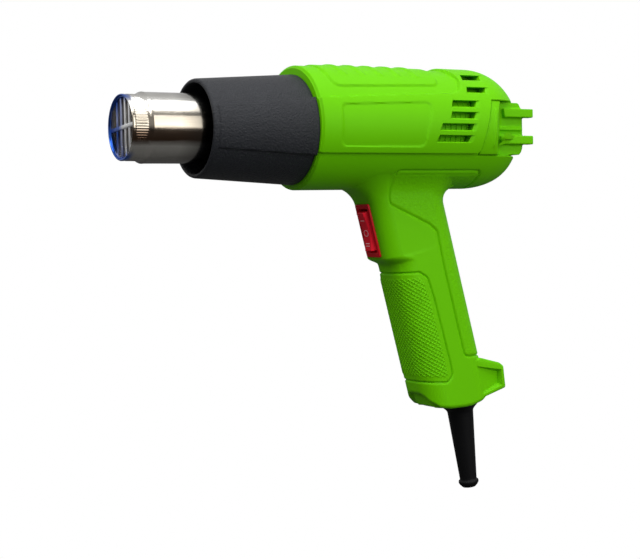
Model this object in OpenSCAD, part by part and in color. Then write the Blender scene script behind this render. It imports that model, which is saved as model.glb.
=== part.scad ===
// Pistol-grip hot-air tool. The barrel lies along X and the air leaves towards -X.
// The origin is the centre of the air outlet. Y = 0 is the plane that splits the housing,
// and the handle hangs down towards -Z.

/* [Outlet tube] */
// Radius of the front band, over which an accessory nozzle slides
outlet_r = 17.25; // [16.75:0.25:17.75]
// Length of the front band
outlet_band = 8; // [6:0.5:10]
// Radius of the main run of the tube
tube_r = 18.5; // [18.2:0.1:19]
// Sheet thickness of the tube
tube_wall = 0.6; // [0.5:0.1:0.8]
// How far the tube reaches out of the sleeve
tube_reach = 41; // [36:1:50]
// Number of upright bars in the outlet
grille_bars = 4; // [3:1:5]
// Width of a bar in the outlet
grille_bar_w = 1.7; // [1.2:0.1:2]

/* [Sleeve] */
// Length of the dark sleeve that shows
sleeve_len = 59; // [54:1:66]
// Radius of the sleeve at its mouth
sleeve_front_r = 26.2; // [25:0.2:27]
// How far the sleeve's rear edge lies below the barrel's surface
sleeve_drop = 3.1; // [2.8:0.1:3.6]
// Wall of the sleeve
sleeve_wall = 2.4; // [2:0.1:2.6]
// How far the side band of the sleeve stands proud at its rear
sleeve_band_h = 2.4; // [2:0.1:2.8]

/* [Barrel] */
// Radius of the barrel
barrel_r = 33.3; // [33:0.1:34]
// Length of the barrel from its rim to the start of the rear dome
barrel_len = 112; // [110:1:118]
// Length of the rear dome
dome_len = 26; // [25:1:28]
// Radius of the flat at the rear of the dome
dome_flat_r = 22; // [21:0.5:23]
// Wall of the moulded housing
wall = 2.5; // [2.2:0.1:2.8]
// How far the raised side and rear skin stands proud of the barrel
skin_h = 2.2; // [1.8:0.1:2.6]
// How far the grip pad on top stands proud of the barrel
pad_h = 2; // [1.6:0.1:2.2]
// Length of the grip pad on top
pad_len = 70; // [66:1:74]
// Number of ribs on the grip pad
pad_ribs = 5; // [4:1:6]
// Height of one vent slot
slot_h = 3.5; // [3:0.1:3.8]
// Distance between vent slots
slot_pitch = 6.5; // [6.3:0.1:6.8]

/* [Rear cover] */
// How far the feet reach behind the dome
foot_reach = 7.7; // [6:0.1:10]
// Thickness of a foot
foot_t = 5; // [4:0.5:5.5]
// Height between the upper and the lower feet, centre to centre
foot_pitch = 15.4; // [14:0.2:16]

/* [Handle] */
// Lean of the handle from upright
tilt = 14.4; // [13:0.2:16]
// Where the handle's own axis crosses the barrel's axis, behind the barrel's rim
handle_x = 62.2; // [60:1:66]
// Depth of the grip from front to back
grip_depth = 44.3; // [43:0.5:46]
// Width of the handle
grip_w = 32; // [31:0.5:34]
// How far the handle reaches below the barrel's axis, along its lean
handle_len = 168; // [164:1:174]
// How far the switch block stands in front of the grip
switch_step = 4.6; // [4:0.2:5]
// How far the heel stands out behind the grip
heel_reach = 11; // [8:0.5:13]

/* [Switch] */
// Length of the switch bezel
bezel_len = 31; // [30:0.5:32]
// Width of the switch bezel
bezel_w = 14; // [13.5:0.5:15]
// Thickness of the bezel
bezel_t = 1.2; // [1:0.1:1.5]
// Length of the paddle
paddle_len = 22.4; // [21.8:0.1:22.6]
// Width of the paddle
paddle_w = 9.2; // [9:0.1:9.3]
// Tilt of the paddle to each side
paddle_swing = 8; // [6:0.5:8]

/* [Cord boot] */
// Length of the boot below the handle
boot_len = 48.6; // [42:0.2:52]
// Radius of the boot under its flange
boot_top_r = 7.6; // [7:0.1:8]
// Radius of the boot at its lower end
boot_end_r = 5; // [4.6:0.1:5.4]
// Radius of the flange that covers the hole in the handle
boot_flange_r = 11.4; // [10.6:0.1:11.8]
// Radius of the hole for the cord
cord_hole_r = 3.2; // [2.8:0.1:3.4]
// Lean of the boot from upright
boot_lean = 7.1; // [6:0.1:9]

/* [Motor and fan] */
// Radius of the motor can
motor_r = 13.85; // [13:0.05:14.5]
// Length of the motor can
motor_len = 37.8; // [34:0.2:38]
// Radius of the motor shaft
shaft_r = 1.15; // [1:0.05:1.5]
// Room between the air duct and the housing wall
duct_room = 2.4; // [2:0.1:3]
// Clearance of the fan blades in the duct
fan_clear = 0.8; // [0.6:0.1:1.2]
// Number of fan blades
fan_blades = 9; // [7:1:11]
// Number of turns in the heating winding
coil_turns = 12; // [9:1:14]

/* [Hidden] */
$fn = 64;

// Clearance between pieces that are fitted together
gap = 0.2;
// Radial clearance of a turning fit
run_gap = 0.05;

// Places along the barrel
sleeve_x = tube_reach;
rim_x = sleeve_x + sleeve_len;
dome_x = rim_x + barrel_len;
barrel_end = dome_x + dome_len;
axis_z = 0.3;
rim_wall = 3;
sleeve_rear_r = barrel_r - sleeve_drop;
sleeve_neck_r = sleeve_rear_r - 2;
skin_r = barrel_r + skin_h;
skin_z = axis_z + 0.8;
skin_low = -14.3;
skin_top = 17.5;

// Rear cover: its lower and upper edge, and its feet
cap_low = -14.4;
cap_high = 16.2;
cap_crown = 3.6;
cap_rear = barrel_end + cap_crown;
cap_side = 25.2;
cap_inner = cap_side - wall;
cap_ridge_x = dome_x + 3.5;
cap_neck_x = dome_x + 11;
foot_mid = 2.1;
foot_y = cap_side + 2.8;
foot_end = barrel_end + foot_reach;

// Places on the handle, measured from where its axis crosses the barrel's
grip_front = -grip_depth / 2;
grip_back = grip_depth / 2;
switch_front = grip_front - switch_step;
handle_pos = rim_x + handle_x;
switch_mid = -51.1;
switch_foot = switch_mid - bezel_len / 2 - 2.4;
seat_top = -handle_len + 14;
paddle_pivot = bezel_t + 5.8;
paddle_rise = 2.2;
boot_u = 6.1;
boot_neck_r = 7;
boot_collar_r = 10;
flange_top = 2.6;
collar_z = 6.2;
heel_top = 28 - handle_len;
heel_tip = grip_back + heel_reach;
heel_half = 15;

// Places inside
bracket_x = dome_x - 46;
bracket_t = 5;
fan_x = bracket_x - 17;
motor_x = bracket_x + 3;
motor_end = motor_x + motor_len;
flange_x = rim_x + 8;
duct_wall = 1.4;
duct_r = barrel_r - wall - duct_room - duct_wall;
fan_r = duct_r - fan_clear;
core_r = tube_r - tube_wall - 5.6;
coil_wire_r = 0.6;
mica_r = tube_r - tube_wall - gap;
mica_wall = 0.8;

// Inside the motor: can, magnets, armature, commutator and brushes
can_t = 0.9;
can_r = motor_r - can_t - 0.05;
magnet_bore = can_r - 3.7;
stack_r = magnet_bore - 0.6;
winding_r = stack_r - 2.2;
winding_reach = 2.5;
commutator_r = 3.2;
commutator_len = 6.5;
bush_r = 3;
bush_reach = 2.5;
commutator_end = motor_end - bush_reach - 1.8;
commutator_x = commutator_end - commutator_len;
stack_x = motor_x + 8;
stack_end = commutator_x - winding_reach - 0.5;
poles = 5;
brush_x = motor_end - 9;
brush_z = can_r - 3.9;
arm_t = 0.7;
arm_w = 2.4;
tag_reach = 5.5;
board_x = motor_end + 3.2;
board_t = 1.6;
motor_screw_y = 8;

// Housing screws: [place along the barrel, height] and [handle depth, handle height]
boss_r = 4.4;
boss_z = barrel_r - 5.8;
front_boss_x = rim_x + 19;
barrel_bosses = [
    [front_boss_x, boss_z], [front_boss_x, -boss_z], [dome_x - 28, boss_z], [dome_x, 3 - boss_z]];
handle_bosses = [[10, -52], [2, -96], [-12, -146]];
clamp_y = 1.9;
screw_r = 1.45;
screw_head_r = 2.9;

// Points on an arc from angle a to angle b
function arc(cx, cy, r, a, b, n = 8) =
    [for (i = [0 : n]) let (t = a + (b - a) * i / n) [cx + r * cos(t), cy + r * sin(t)]];

// Points that round one corner of an outline
function corner(p, q, s, r, n) =
    r == 0 ? [q] :
    let (u = (p - q) / norm(p - q), v = (s - q) / norm(s - q))
    let (half = acos(u * v) / 2, reach = r / tan(half), mid = (u + v) / norm(u + v))
    let (c = q + mid * r / sin(half), start = q + u * reach - c, finish = q + v * reach - c)
    let (a = atan2(start[1], start[0]), turn = atan2(finish[1], finish[0]) - a)
    let (sweep = turn > 180 ? turn - 360 : turn < -180 ? turn + 360 : turn)
    [for (i = [0 : n]) c + r * [cos(a + sweep * i / n), sin(a + sweep * i / n)]];

// An outline with each corner rounded by its own radius
function rounded(points, radii, n = 5) =
    let (count = len(points))
    [for (i = [0 : count - 1])
        each corner(points[(i + count - 1) % count], points[i], points[(i + 1) % count], radii[i], n)];

// Turns a shape made along Z so that it lies along X
module along_x() {
    rotate([0, 90, 0]) children();
}

// A ring along the barrel from x0 to x1
module tube_x(x0, x1, r, bore) {
    translate([x0, 0, 0]) along_x() difference() {
        cylinder(h = x1 - x0, r = r);
        translate([0, 0, -1]) cylinder(h = x1 - x0 + 2, r = bore);
    }
}

// A round bar along the barrel from x0 to x1
module bar_x(x0, x1, r) {
    translate([x0, 0, 0]) along_x() cylinder(h = x1 - x0, r = r);
}

// A side-view outline [x, z] drawn out from y0 to y1
module side_prism(points, y0, y1) {
    translate([0, y1, 0]) rotate([90, 0, 0]) linear_extrude(height = y1 - y0) polygon(points);
}

// The handle's own frame: X to the rear, Z up along the handle
module at_handle() {
    translate([handle_pos, 0, 0]) rotate([0, -tilt, 0]) children();
}

// The boot's own frame, with its axis along -Z
module at_boot() {
    at_handle() translate([boot_u, 0, -handle_len]) rotate([0, tilt - boot_lean, 0]) children();
}

// Solid of revolution that ends in a dome, from x0 to x1, with the dome as long as reach.
// The dome's curve turns through the angle turn: 90 ends square to the axis, less ends in a slope.
module domed_bar(x0, x1, r, flat, reach, turn = 90) {
    drop = (r - flat) / (1 - cos(turn));
    dome = [for (i = [0 : 9]) let (t = turn * i / 9)
        [r - drop * (1 - cos(t)), x1 - reach + reach * sin(t) / sin(turn)]];
    along_x() rotate_extrude() polygon(concat([[0, x0], [r, x0]], dome, [[0, x1]]));
}

// The barrel, or the space inside it
module barrel_form(x0, inset) {
    translate([0, 0, axis_z])
        domed_bar(x0, barrel_end - inset, barrel_r - inset, dome_flat_r - inset, dome_len - inset);
}

// The full round of the raised skin, which the rear cover shares
module skin_round(x0, inset) {
    translate([0, 0, skin_z])
        domed_bar(x0, barrel_end - inset, skin_r - inset, dome_flat_r + 0.6 - inset / 3,
            dome_len - 1 - inset, 55);
}

// Side-view outline of the raised skin: the side band and the whole upper rear
function skin_outline(inset) =
    let (front = rim_x + (inset > 0 ? rim_wall : -1), low = skin_low + inset)
    rounded([
        [front, low], [dome_x - 9 - inset, low], [dome_x - inset, skin_top - 1 + inset],
        [barrel_end + 5, skin_top - 1 + inset], [barrel_end + 5, 50], [dome_x - 28 + inset, 50],
        [dome_x - 15 + inset, 29.5 - inset], [dome_x - 21, 20.6 - inset], [front, 15.4 - inset]],
        [0, 6, 3, 0, 0, 0, 6, 8, 0]);

module skin(inset) {
    intersection() {
        skin_round(rim_x + (inset > 0 ? rim_wall : 0), inset);
        side_prism(skin_outline(inset), -50, 50);
    }
}

// Section of the handle, seen along its lean
module handle_section(front, front_r, inset) {
    half = grip_w / 2 - inset;
    back = grip_back - inset;
    polygon(rounded(
        [[front + inset, -half], [back, -half], [back, half], [front + inset, half]],
        [front_r - inset, 13 - inset, 13 - inset, front_r - inset], 7));
}

// Side-view outline of the handle in its own frame
function handle_outline(inset) = rounded([
    [switch_front + inset, -16], [switch_front + inset, switch_foot + inset],
    [grip_front + 1 + inset, switch_foot - 4 + inset], [grip_front + inset, switch_foot - 12],
    [grip_front + inset, 17 - handle_len + inset], [grip_front + 14, 4.5 - handle_len + inset],
    [boot_u, 2 - handle_len + inset], [grip_back - inset, 3.4 - handle_len + inset],
    [grip_back - inset, -16]],
    [0, 3, 2, 4, 5, 5, 8, 0, 0]);

// Solid form of the handle, or of the space inside it
module handle_form(inset) {
    at_handle() intersection() {
        union() {
            translate([0, 0, -handle_len - 5]) linear_extrude(height = handle_len)
                handle_section(grip_front, 12, inset);
            translate([0, 0, switch_foot - 6]) linear_extrude(height = -switch_foot - 8)
                handle_section(switch_front, 5.5, inset);
        }
        side_prism(handle_outline(inset), -grip_w, grip_w);
    }
}

// Concave corner between barrel and handle, at the front (-1) and at the rear (1)
module handle_root(side) {
    root_r = 8;
    z0 = axis_z - barrel_r;
    x0 = handle_pos + ((side < 0 ? switch_front : grip_back) - z0 * sin(tilt)) / cos(tilt);
    reach = root_r / tan((90 - side * tilt) / 2);
    side_prism(concat(
        [[x0 - side * 6, z0 + 8], [x0 + side * reach, z0 + 8]],
        arc(x0 + side * reach, z0 - root_r, root_r, 90, side < 0 ? tilt : 180 + tilt, 6),
        [[x0 + reach * sin(tilt) - side * 6, z0 - reach * cos(tilt)]]), -10, 10);
}

// Heel behind the foot of the handle
module heel() {
    outline = rounded([
        [0, heel_top], [grip_back - 4, heel_top - 0.6], [heel_tip - 2.4, heel_top - 7.5],
        [heel_tip, heel_top - 10.5], [heel_tip - 1.8, 4.6 - handle_len], [0, 3.4 - handle_len]],
        [0, 4, 1.5, 1.5, 1.5, 0], 3);
    at_handle() difference() {
        side_prism(outline, -heel_half, heel_half);
        for (side = [-1, 1])
            side_prism([
                [grip_back - 6, heel_top - 4.5], [heel_tip - 2.8, heel_top - 12],
                [heel_tip - 4.4, 7.4 - handle_len], [grip_back - 6, 6.6 - handle_len]],
                side < 0 ? -heel_half - 1 : heel_half - 3, side < 0 ? 3 - heel_half : heel_half + 1);
    }
}

// Pocket that keeps the heel's walls even
module heel_space() {
    half = heel_half - 3 - wall;
    at_handle() side_prism([
        [grip_back - 2, heel_top - 4], [heel_tip - wall - 1, heel_top - 10],
        [heel_tip - wall - 2, 7.6 - handle_len], [grip_back - 2, 7.2 - handle_len]], -half, half);
}

// Grip pad on top of the barrel with its ribs
module top_pad() {
    pad_x = rim_x + 11.5;
    low = 23;
    intersection() {
        translate([0, 0, axis_z]) bar_x(pad_x - 5, pad_x + pad_len + 8, barrel_r + pad_h);
        side_prism(rounded([
            [pad_x, low], [pad_x + pad_len - 6, low + 2], [pad_x + pad_len + 3, 45],
            [pad_x - 2, 45]], [5, 5, 0, 0]), -40, 40);
    }
    for (i = [0 : pad_ribs - 1])
        intersection() {
            translate([pad_x + pad_len * (i + 0.75) / (pad_ribs + 0.9), 0, axis_z])
                bar_x(0, 4, barrel_r + pad_h + 0.5);
            translate([0, -19, 27]) cube([300, 38, 20]);
        }
}

// What the chamfer takes off the barrel's front edge
module rim_chamfer() {
    translate([rim_x, 0, axis_z]) along_x() rotate_extrude()
        polygon([[barrel_r - 1.5, -1], [barrel_r + 1, -1], [barrel_r + 1, 2.5], [barrel_r - 1.5, 0]]);
}

// Everything that the two housing halves enclose and their own thickness
module housing_form() {
    difference() {
        union() {
            difference() {
                barrel_form(rim_x, 0);
                rim_chamfer();
            }
            skin(0);
            top_pad();
            handle_form(0);
            handle_root(-1);
            handle_root(1);
            heel();
        }
        inset_panels();
    }
}

// Shallow panel on each side of the barrel
module inset_panels() {
    depth = 0.6;
    for (side = [-1, 1])
        intersection() {
            side_prism(rounded([
                [rim_x + 12, -10.4], [rim_x + 61, -10.2], [rim_x + 68, -1], [rim_x + 70.5, 14],
                [rim_x + 12.5, 11.6]], [3, 3, 8, 3, 3]), side < 0 ? -45 : 20, side < 0 ? -20 : 45);
            translate([0, 0, skin_z]) tube_x(rim_x, dome_x, skin_r + 5, skin_r - depth);
        }
}

// Ledges that close the housing above and below the narrow part of the rear cover
module cap_ledges() {
    thick = 2;
    for (z = [cap_low - gap - thick, cap_high + gap])
        translate([cap_ridge_x, -50, z]) cube([60, 100, thick]);
}

// The space inside the housing
module housing_space() {
    difference() {
        union() {
            barrel_form(rim_x + rim_wall, wall);
            skin(wall);
        }
        cap_ledges();
    }
    heel_space();
    difference() {
        handle_form(wall);
        at_handle() translate([-40, -20, seat_top - 40]) cube([80, 40, 40]);
    }
}

// Vent slots through both sides: six a side, in two groups
module vent_slots() {
    lean = 1.6;
    for (side = [-1, 1], i = [0 : 5]) {
        upper = i > 3;
        z0 = upper ? 20.6 + (i - 4) * 7.8 : -7.6 + i * slot_pitch;
        x1 = dome_x + (upper ? 2.5 : i * 1.9 - 14);
        run = upper ? 15 : i < 2 ? 23.6 : 18.4;
        tall = upper ? slot_h - 0.5 : slot_h;
        side_prism([
            [x1 - run - lean / 2, z0], [x1, z0], [x1 + lean / 2, z0 + tall],
            [x1 - run + lean / 2, z0 + tall]], side < 0 ? -50 : 8, side < 0 ? -8 : 50);
    }
}

// Side-view outline of the opening that the rear cover fills
function cap_outline(clear) = [
    [dome_x - 7.8 - clear, cap_low - clear], [dome_x - 3.8 - clear, 2],
    [dome_x + 1.4 - clear, cap_high + clear], [barrel_end + 30, cap_high + clear],
    [barrel_end + 30, cap_low - clear]];

// How far a barrel boss may reach before it would break the outer face
function boss_reach(z) = sqrt(pow(barrel_r, 2) - pow(abs(z) + boss_r, 2)) - 0.8;

// Places something at each screw, with its reach to the housing wall as $reach
module at_bosses() {
    for (b = barrel_bosses) {
        $reach = boss_reach(b[1]);
        translate([b[0], 0, b[1]]) rotate([90, 0, 0]) children();
    }
    for (b = handle_bosses) {
        $reach = grip_w / 2 - 0.8;
        at_handle() translate([b[0], 0, b[1]]) rotate([90, 0, 0]) children();
    }
}

// Ribs that carry the duct and hold the motor bracket between them
module inner_ribs() {
    duct_clear = duct_r + duct_wall + gap;
    intersection() {
        union() {
            tube_x(bracket_x - 14, bracket_x - 11, barrel_r, duct_clear);
            tube_x(bracket_x - gap - 3, bracket_x - gap, barrel_r, duct_clear);
            tube_x(bracket_x + bracket_t + gap, bracket_x + bracket_t + gap + 3, barrel_r, duct_r);
        }
        barrel_form(rim_x + rim_wall, wall - 0.5);
    }
}

// The cord clamp's two screws, with Z out of the left half's posts
module at_clamp_screws() {
    at_handle() for (side = [-1, 1])
        translate([boot_u + side * 8.5, 0, seat_top + 6.5]) rotate([-90, 0, 0]) children();
}

// One half of the housing: side is -1 for the left and 1 for the right
module housing_half(side) {
    head_y = 6;
    difference() {
        union() {
            difference() {
                housing_form();
                housing_space();
                vent_slots();
                side_prism(cap_outline(gap), -50, 50);
            }
            at_bosses() translate([0, 0, side < 0 ? 0 : -$reach]) cylinder(h = $reach, r = boss_r);
            inner_ribs();
            if (side < 0)
                at_clamp_screws() translate([0, 0, 1 - grip_w / 2]) cylinder(h = grip_w / 2 - 1 - clamp_y, r = 3);
        }
        translate([-50, side < 0 ? 0 : -100, -300]) cube([400, 100, 400]);
        // Mouth for the sleeve's neck
        bar_x(rim_x - 1, rim_x + rim_wall + 1, sleeve_neck_r + gap);
        // Screw holes: blind on the left, stepped on the right
        at_bosses() {
            translate([0, 0, side < 0 ? -1 : -60]) cylinder(h = side < 0 ? 10 : 61, r = screw_r + 0.1);
            if (side > 0) translate([0, 0, -60]) cylinder(h = 60 - head_y, r = screw_head_r + gap);
        }
        if (side < 0) at_clamp_screws() translate([0, 0, -8.5]) cylinder(h = 10, r = screw_r);
        // Window for the switch
        at_handle() translate([switch_front - 5, -bezel_w / 2 + 0.7, switch_mid - bezel_len / 2 + 1.2])
            cube([12, bezel_w - 1.4, bezel_len - 2.4]);
        // Seat for the boot
        at_boot() {
            translate([0, 0, -20]) cylinder(h = 40, r = boot_neck_r + gap);
            translate([0, 0, collar_z - gap]) cylinder(h = 3 + 2 * gap, r = boot_collar_r + gap);
            translate([0, 0, -20]) cylinder(h = 20 + flange_top + gap, r = boot_flange_r + gap);
        }
    }
}

module housing_left() {
    color("limegreen") housing_half(-1);
}

module housing_right() {
    color("limegreen") housing_half(1);
}

module front_sleeve() {
    lip = 1.2;
    neck_end = rim_x + rim_wall + gap + 2;
    color("dimgray") difference() {
        union() {
            along_x() rotate_extrude() polygon(concat(
                arc(sleeve_front_r - lip, sleeve_x + lip, lip, -90, 0, 4),
                [[sleeve_rear_r, rim_x - gap], [sleeve_neck_r, rim_x - gap],
                [sleeve_neck_r, rim_x + rim_wall + gap], [sleeve_rear_r - 0.4, rim_x + rim_wall + gap],
                [sleeve_rear_r - 0.4, neck_end], [sleeve_neck_r - sleeve_wall, neck_end],
                [sleeve_neck_r - sleeve_wall, rim_x - 3],
                [sleeve_front_r - sleeve_wall, sleeve_x + lip]],
                arc(sleeve_front_r - sleeve_wall + 0.6, sleeve_x + 0.6, 0.6, 180, 270, 3)));
            // Side bands, which grow towards the barrel
            intersection() {
                translate([sleeve_x + 3, 0, 0]) along_x()
                    cylinder(h = sleeve_len - 3 - gap, r1 = sleeve_front_r + 0.7, r2 = sleeve_rear_r + sleeve_band_h);
                side_prism([
                    [sleeve_x, -11], [rim_x, skin_low], [rim_x, 15], [sleeve_x, 10.8]], -40, 40);
            }
        }
        translate([sleeve_x + lip, 0, 0]) along_x()
            cylinder(h = sleeve_len - 3 - lip, r1 = sleeve_front_r - sleeve_wall, r2 = sleeve_neck_r - sleeve_wall);
        bar_x(rim_x - 4, neck_end + 1, sleeve_neck_r - sleeve_wall);
    }
}

module nozzle_tube() {
    color("gainsboro") along_x() rotate_extrude() polygon([
        [outlet_r - tube_wall, 0], [outlet_r, 0], [outlet_r, outlet_band],
        [tube_r, outlet_band + 3], [tube_r, flange_x + 1.2], [tube_r - tube_wall, flange_x + 1.2],
        [tube_r - tube_wall, outlet_band + 3.3], [outlet_r - tube_wall, outlet_band + 0.3]]);
}

module outlet_grille() {
    ring_r = outlet_r - tube_wall;
    ring_t = 1.1;
    pitch = 2 * (ring_r - ring_t) / (grille_bars + 1) * 0.87;
    deep = 3;
    color("silver") {
        tube_x(0.8, 0.8 + deep, ring_r, ring_r - ring_t);
        intersection() {
            bar_x(0.8, 0.8 + deep, ring_r - ring_t / 2);
            union() {
                for (i = [0 : grille_bars - 1])
                    translate([1.4, pitch * (i - (grille_bars - 1) / 2) - grille_bar_w / 2, -ring_r])
                        cube([deep - 0.6, grille_bar_w, 2 * ring_r]);
                rotate([-4, 0, 0]) translate([0.8, -ring_r, -1.1]) cube([deep - 1, 2 * ring_r, 2.2]);
            }
        }
    }
}

module insulator_tube() {
    color("wheat") tube_x(outlet_band + 6, flange_x - 1, mica_r, mica_r - mica_wall);
}

// Two mica boards that cross, with the winding resting on their edges
module heater_core() {
    x0 = outlet_band + 14;
    x1 = flange_x - 8;
    color("tan") for (turn = [0, 90])
        rotate([turn, 0, 0]) translate([x0, -core_r + coil_wire_r + 0.1, -0.6])
            cube([x1 - x0, 2 * (core_r - coil_wire_r - 0.1), 1.2]);
}

// One round of points of a wire ring, at a place and turn along the winding
function wire_ring(x, turn, r, wire, sides) =
    [for (k = [0 : sides - 1]) let (a = 360 * k / sides)
        [x + wire * sin(a), (r + wire * cos(a)) * cos(turn), (r + wire * cos(a)) * sin(turn)]];

module heater_coil() {
    sides = 6;
    steps = 16;
    rings = coil_turns * steps;
    x0 = outlet_band + 20;
    x1 = flange_x - 13;
    points = [for (i = [0 : rings])
        each wire_ring(x0 + (x1 - x0) * i / rings, 360 * i / steps, core_r, coil_wire_r, sides)];
    walls = [for (i = [0 : rings - 1], k = [0 : sides - 1])
        let (a = i * sides + k, b = i * sides + (k + 1) % sides)
        each [[a, b, b + sides], [a, b + sides, a + sides]]];
    color("slategray") polyhedron(points, concat(walls,
        [[for (k = [sides - 1 : -1 : 0]) k]], [[for (k = [0 : sides - 1]) rings * sides + k]]));
}

module heater_base() {
    disc_r = mica_r - mica_wall - gap;
    color("oldlace") difference() {
        bar_x(flange_x - 8, flange_x - 4, disc_r);
        for (i = [0 : 7])
            rotate([i * 45 + 22.5, 0, 0]) translate([0, 0, disc_r * 0.62])
                bar_x(flange_x - 9, flange_x - 3, 3);
    }
}

module thermal_cutout() {
    color("darkgoldenrod") bar_x(flange_x - 4, flange_x + 1, 4);
    color("black") bar_x(flange_x + 1, flange_x + 3, 3);
}

module tube_flange() {
    ear_r = tube_r + 4.6;
    color("silver") difference() {
        union() {
            tube_x(flange_x + 1.2 - 5, flange_x + 1.2, tube_r + 0.8, tube_r);
            tube_x(flange_x, flange_x + 1.2, ear_r + 1, tube_r);
        }
        for (i = [0 : 2])
            rotate([i * 120 + 30, 0, 0]) translate([0, 0, tube_r + 2.9]) bar_x(flange_x - 1, flange_x + 3, 1.3);
    }
}

module flange_screws() {
    color("gray") for (i = [0 : 2])
        rotate([i * 120 + 30, 0, 0]) translate([0, 0, tube_r + 2.9]) {
            bar_x(flange_x - 1.6, flange_x, 2);
            bar_x(flange_x, flange_x + 6, 1.2);
        }
}

// Funnel from the fan to the heating tube
module air_duct() {
    x0 = flange_x + 1.2;
    x1 = x0 + 5;
    neck_end = front_boss_x + boss_r + 1.6;
    x2 = fan_x - 6;
    x3 = bracket_x - gap / 2;
    front_r = tube_r + 5.6;
    bore = tube_r - tube_wall;
    neck_r = bore + duct_wall;
    color("#3a3a3c") difference() {
        along_x() rotate_extrude() polygon([
            [bore, x0], [front_r, x0], [front_r, x1], [neck_r, x1 + 1], [neck_r, neck_end],
            [duct_r + duct_wall, x2], [duct_r + duct_wall, x3], [duct_r, x3], [duct_r, x2],
            [bore, neck_end]]);
        for (i = [0 : 2])
            rotate([i * 120 + 30, 0, 0]) translate([0, 0, tube_r + 2.9]) bar_x(x0 - 1, x0 + 6.5, 1.25);
    }
}

module fan_impeller() {
    hub_r = 8;
    hub_len = 9;
    blade_t = 1.1;
    color("#e9e6da") difference() {
        union() {
            bar_x(fan_x, fan_x + hub_len, hub_r);
            intersection() {
                bar_x(fan_x - 1, fan_x + hub_len + 1, fan_r);
                for (i = [0 : fan_blades - 1])
                    rotate([i * 360 / fan_blades, 0, 0]) translate([fan_x + hub_len / 2, 0, hub_r - 1])
                        rotate([0, 0, 38]) translate([-7.5, -blade_t / 2, 0]) cube([15, blade_t, fan_r]);
            }
        }
        bar_x(fan_x - 1, fan_x + hub_len + 1, shaft_r);
        bar_x(fan_x - 2, fan_x + hub_len - 4, hub_r - 1.6);
    }
    // Core of the hub round the shaft
    color("#e9e6da") tube_x(fan_x, fan_x + hub_len - 3.9, 3, shaft_r);
}

module motor_shaft() {
    color("silver") bar_x(fan_x - 0.5, motor_end + 3, shaft_r);
}

module motor_armature() {
    color("peru") difference() {
        union() {
            bar_x(stack_x, stack_end, stack_r);
            bar_x(stack_x - winding_reach, stack_end + winding_reach, winding_r);
        }
        bar_x(motor_x, motor_end, shaft_r);
        for (i = [0 : poles - 1])
            rotate([i * 360 / poles, 0, 0]) translate([stack_x - 1, -0.8, winding_r - 1.4])
                cube([stack_end - stack_x + 2, 1.6, stack_r]);
    }
}

module commutator() {
    color("orange") difference() {
        bar_x(commutator_x, commutator_end, commutator_r);
        bar_x(commutator_x - 1, commutator_end + 1, shaft_r);
        for (i = [0 : poles - 1])
            rotate([i * 360 / poles, 0, 0]) translate([commutator_x - 1, -0.2, commutator_r - 0.6])
                cube([commutator_len + 2, 0.4, 2]);
    }
}

module motor_can() {
    color("lightsteelblue") difference() {
        union() {
            bar_x(motor_x, motor_end, motor_r);
            bar_x(motor_x - 1.8, motor_x + 1, bush_r + 2);
        }
        bar_x(motor_x + 1, motor_end + 1, motor_r - can_t);
        bar_x(motor_x - 2, motor_x + 3, bush_r);
        for (side = [-1, 1])
            translate([0, side * motor_screw_y, 0]) bar_x(motor_x - 1, motor_x + 2, 1.25);
        for (i = [0 : 3])
            rotate([i * 90 + 45, 0, 0]) translate([motor_end - 7, -3, motor_r - 3]) cube([3, 6, 6]);
    }
}

module motor_magnets() {
    color("#55504a") difference() {
        tube_x(stack_x - 3, commutator_x, can_r, magnet_bore);
        for (side = [-1, 1])
            translate([motor_x, -3, side < 0 ? -motor_r : 0]) cube([motor_len, 6, motor_r]);
    }
}

module shaft_bushes() {
    color("#b08d57") {
        tube_x(motor_x - 1.8, motor_x + 3, bush_r, shaft_r + run_gap);
        tube_x(motor_end - bush_reach, motor_end + 1.5, bush_r, shaft_r + run_gap);
    }
}

module motor_end_bell() {
    slot_w = arm_w + gap;
    slot_t = arm_t + gap / 2;
    color("ivory") difference() {
        union() {
            bar_x(motor_end - 1.8, motor_end, can_r);
            bar_x(motor_end, motor_end + 1.5, bush_r + 2);
        }
        bar_x(motor_end - 4, motor_end + 3, bush_r);
        for (side = [-1, 1])
            translate([motor_end - 4, -slot_w / 2, side * brush_z - slot_t / 2]) cube([8, slot_w, slot_t]);
    }
}

// Brush arms with their carbons, and the tags that come out of the end bell
module motor_brushes() {
    carbon_low = commutator_r + 0.1;
    color("goldenrod") for (side = [-1, 1]) {
        translate([brush_x, -arm_w / 2, side * brush_z - arm_t / 2])
            cube([motor_end + tag_reach - brush_x, arm_w, arm_t]);
        translate([brush_x, -arm_w / 2, side < 0 ? -brush_z : carbon_low])
            cube([3.5, arm_w, brush_z - carbon_low]);
    }
}

module motor_bracket() {
    spoke_t = 3;
    ring_bore = duct_r - 1.5;
    cup_r = motor_r + 1.6;
    color("#3a3a3c") difference() {
        union() {
            tube_x(bracket_x, bracket_x + bracket_t, duct_r + duct_wall + 0.6, ring_bore);
            bar_x(bracket_x, bracket_x + 8, cup_r);
            for (i = [0 : 3])
                rotate([i * 90 + 45, 0, 0]) translate([bracket_x, -spoke_t / 2, cup_r - 1])
                    cube([bracket_t, spoke_t, duct_r - cup_r + 0.6]);
        }
        bar_x(motor_x, motor_end, motor_r + 0.1);
        bar_x(bracket_x - 1, motor_x + 1, bush_r + 2 + gap);
        for (side = [-1, 1])
            translate([0, side * motor_screw_y, 0]) bar_x(bracket_x - 1, motor_x + 1, 1.35);
    }
}

module motor_screws() {
    color("gray") for (side = [-1, 1])
        translate([0, side * motor_screw_y, 0]) {
            bar_x(bracket_x - 1.4, bracket_x, 2.2);
            bar_x(bracket_x, motor_x + 2.5, 1.2);
        }
}

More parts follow.
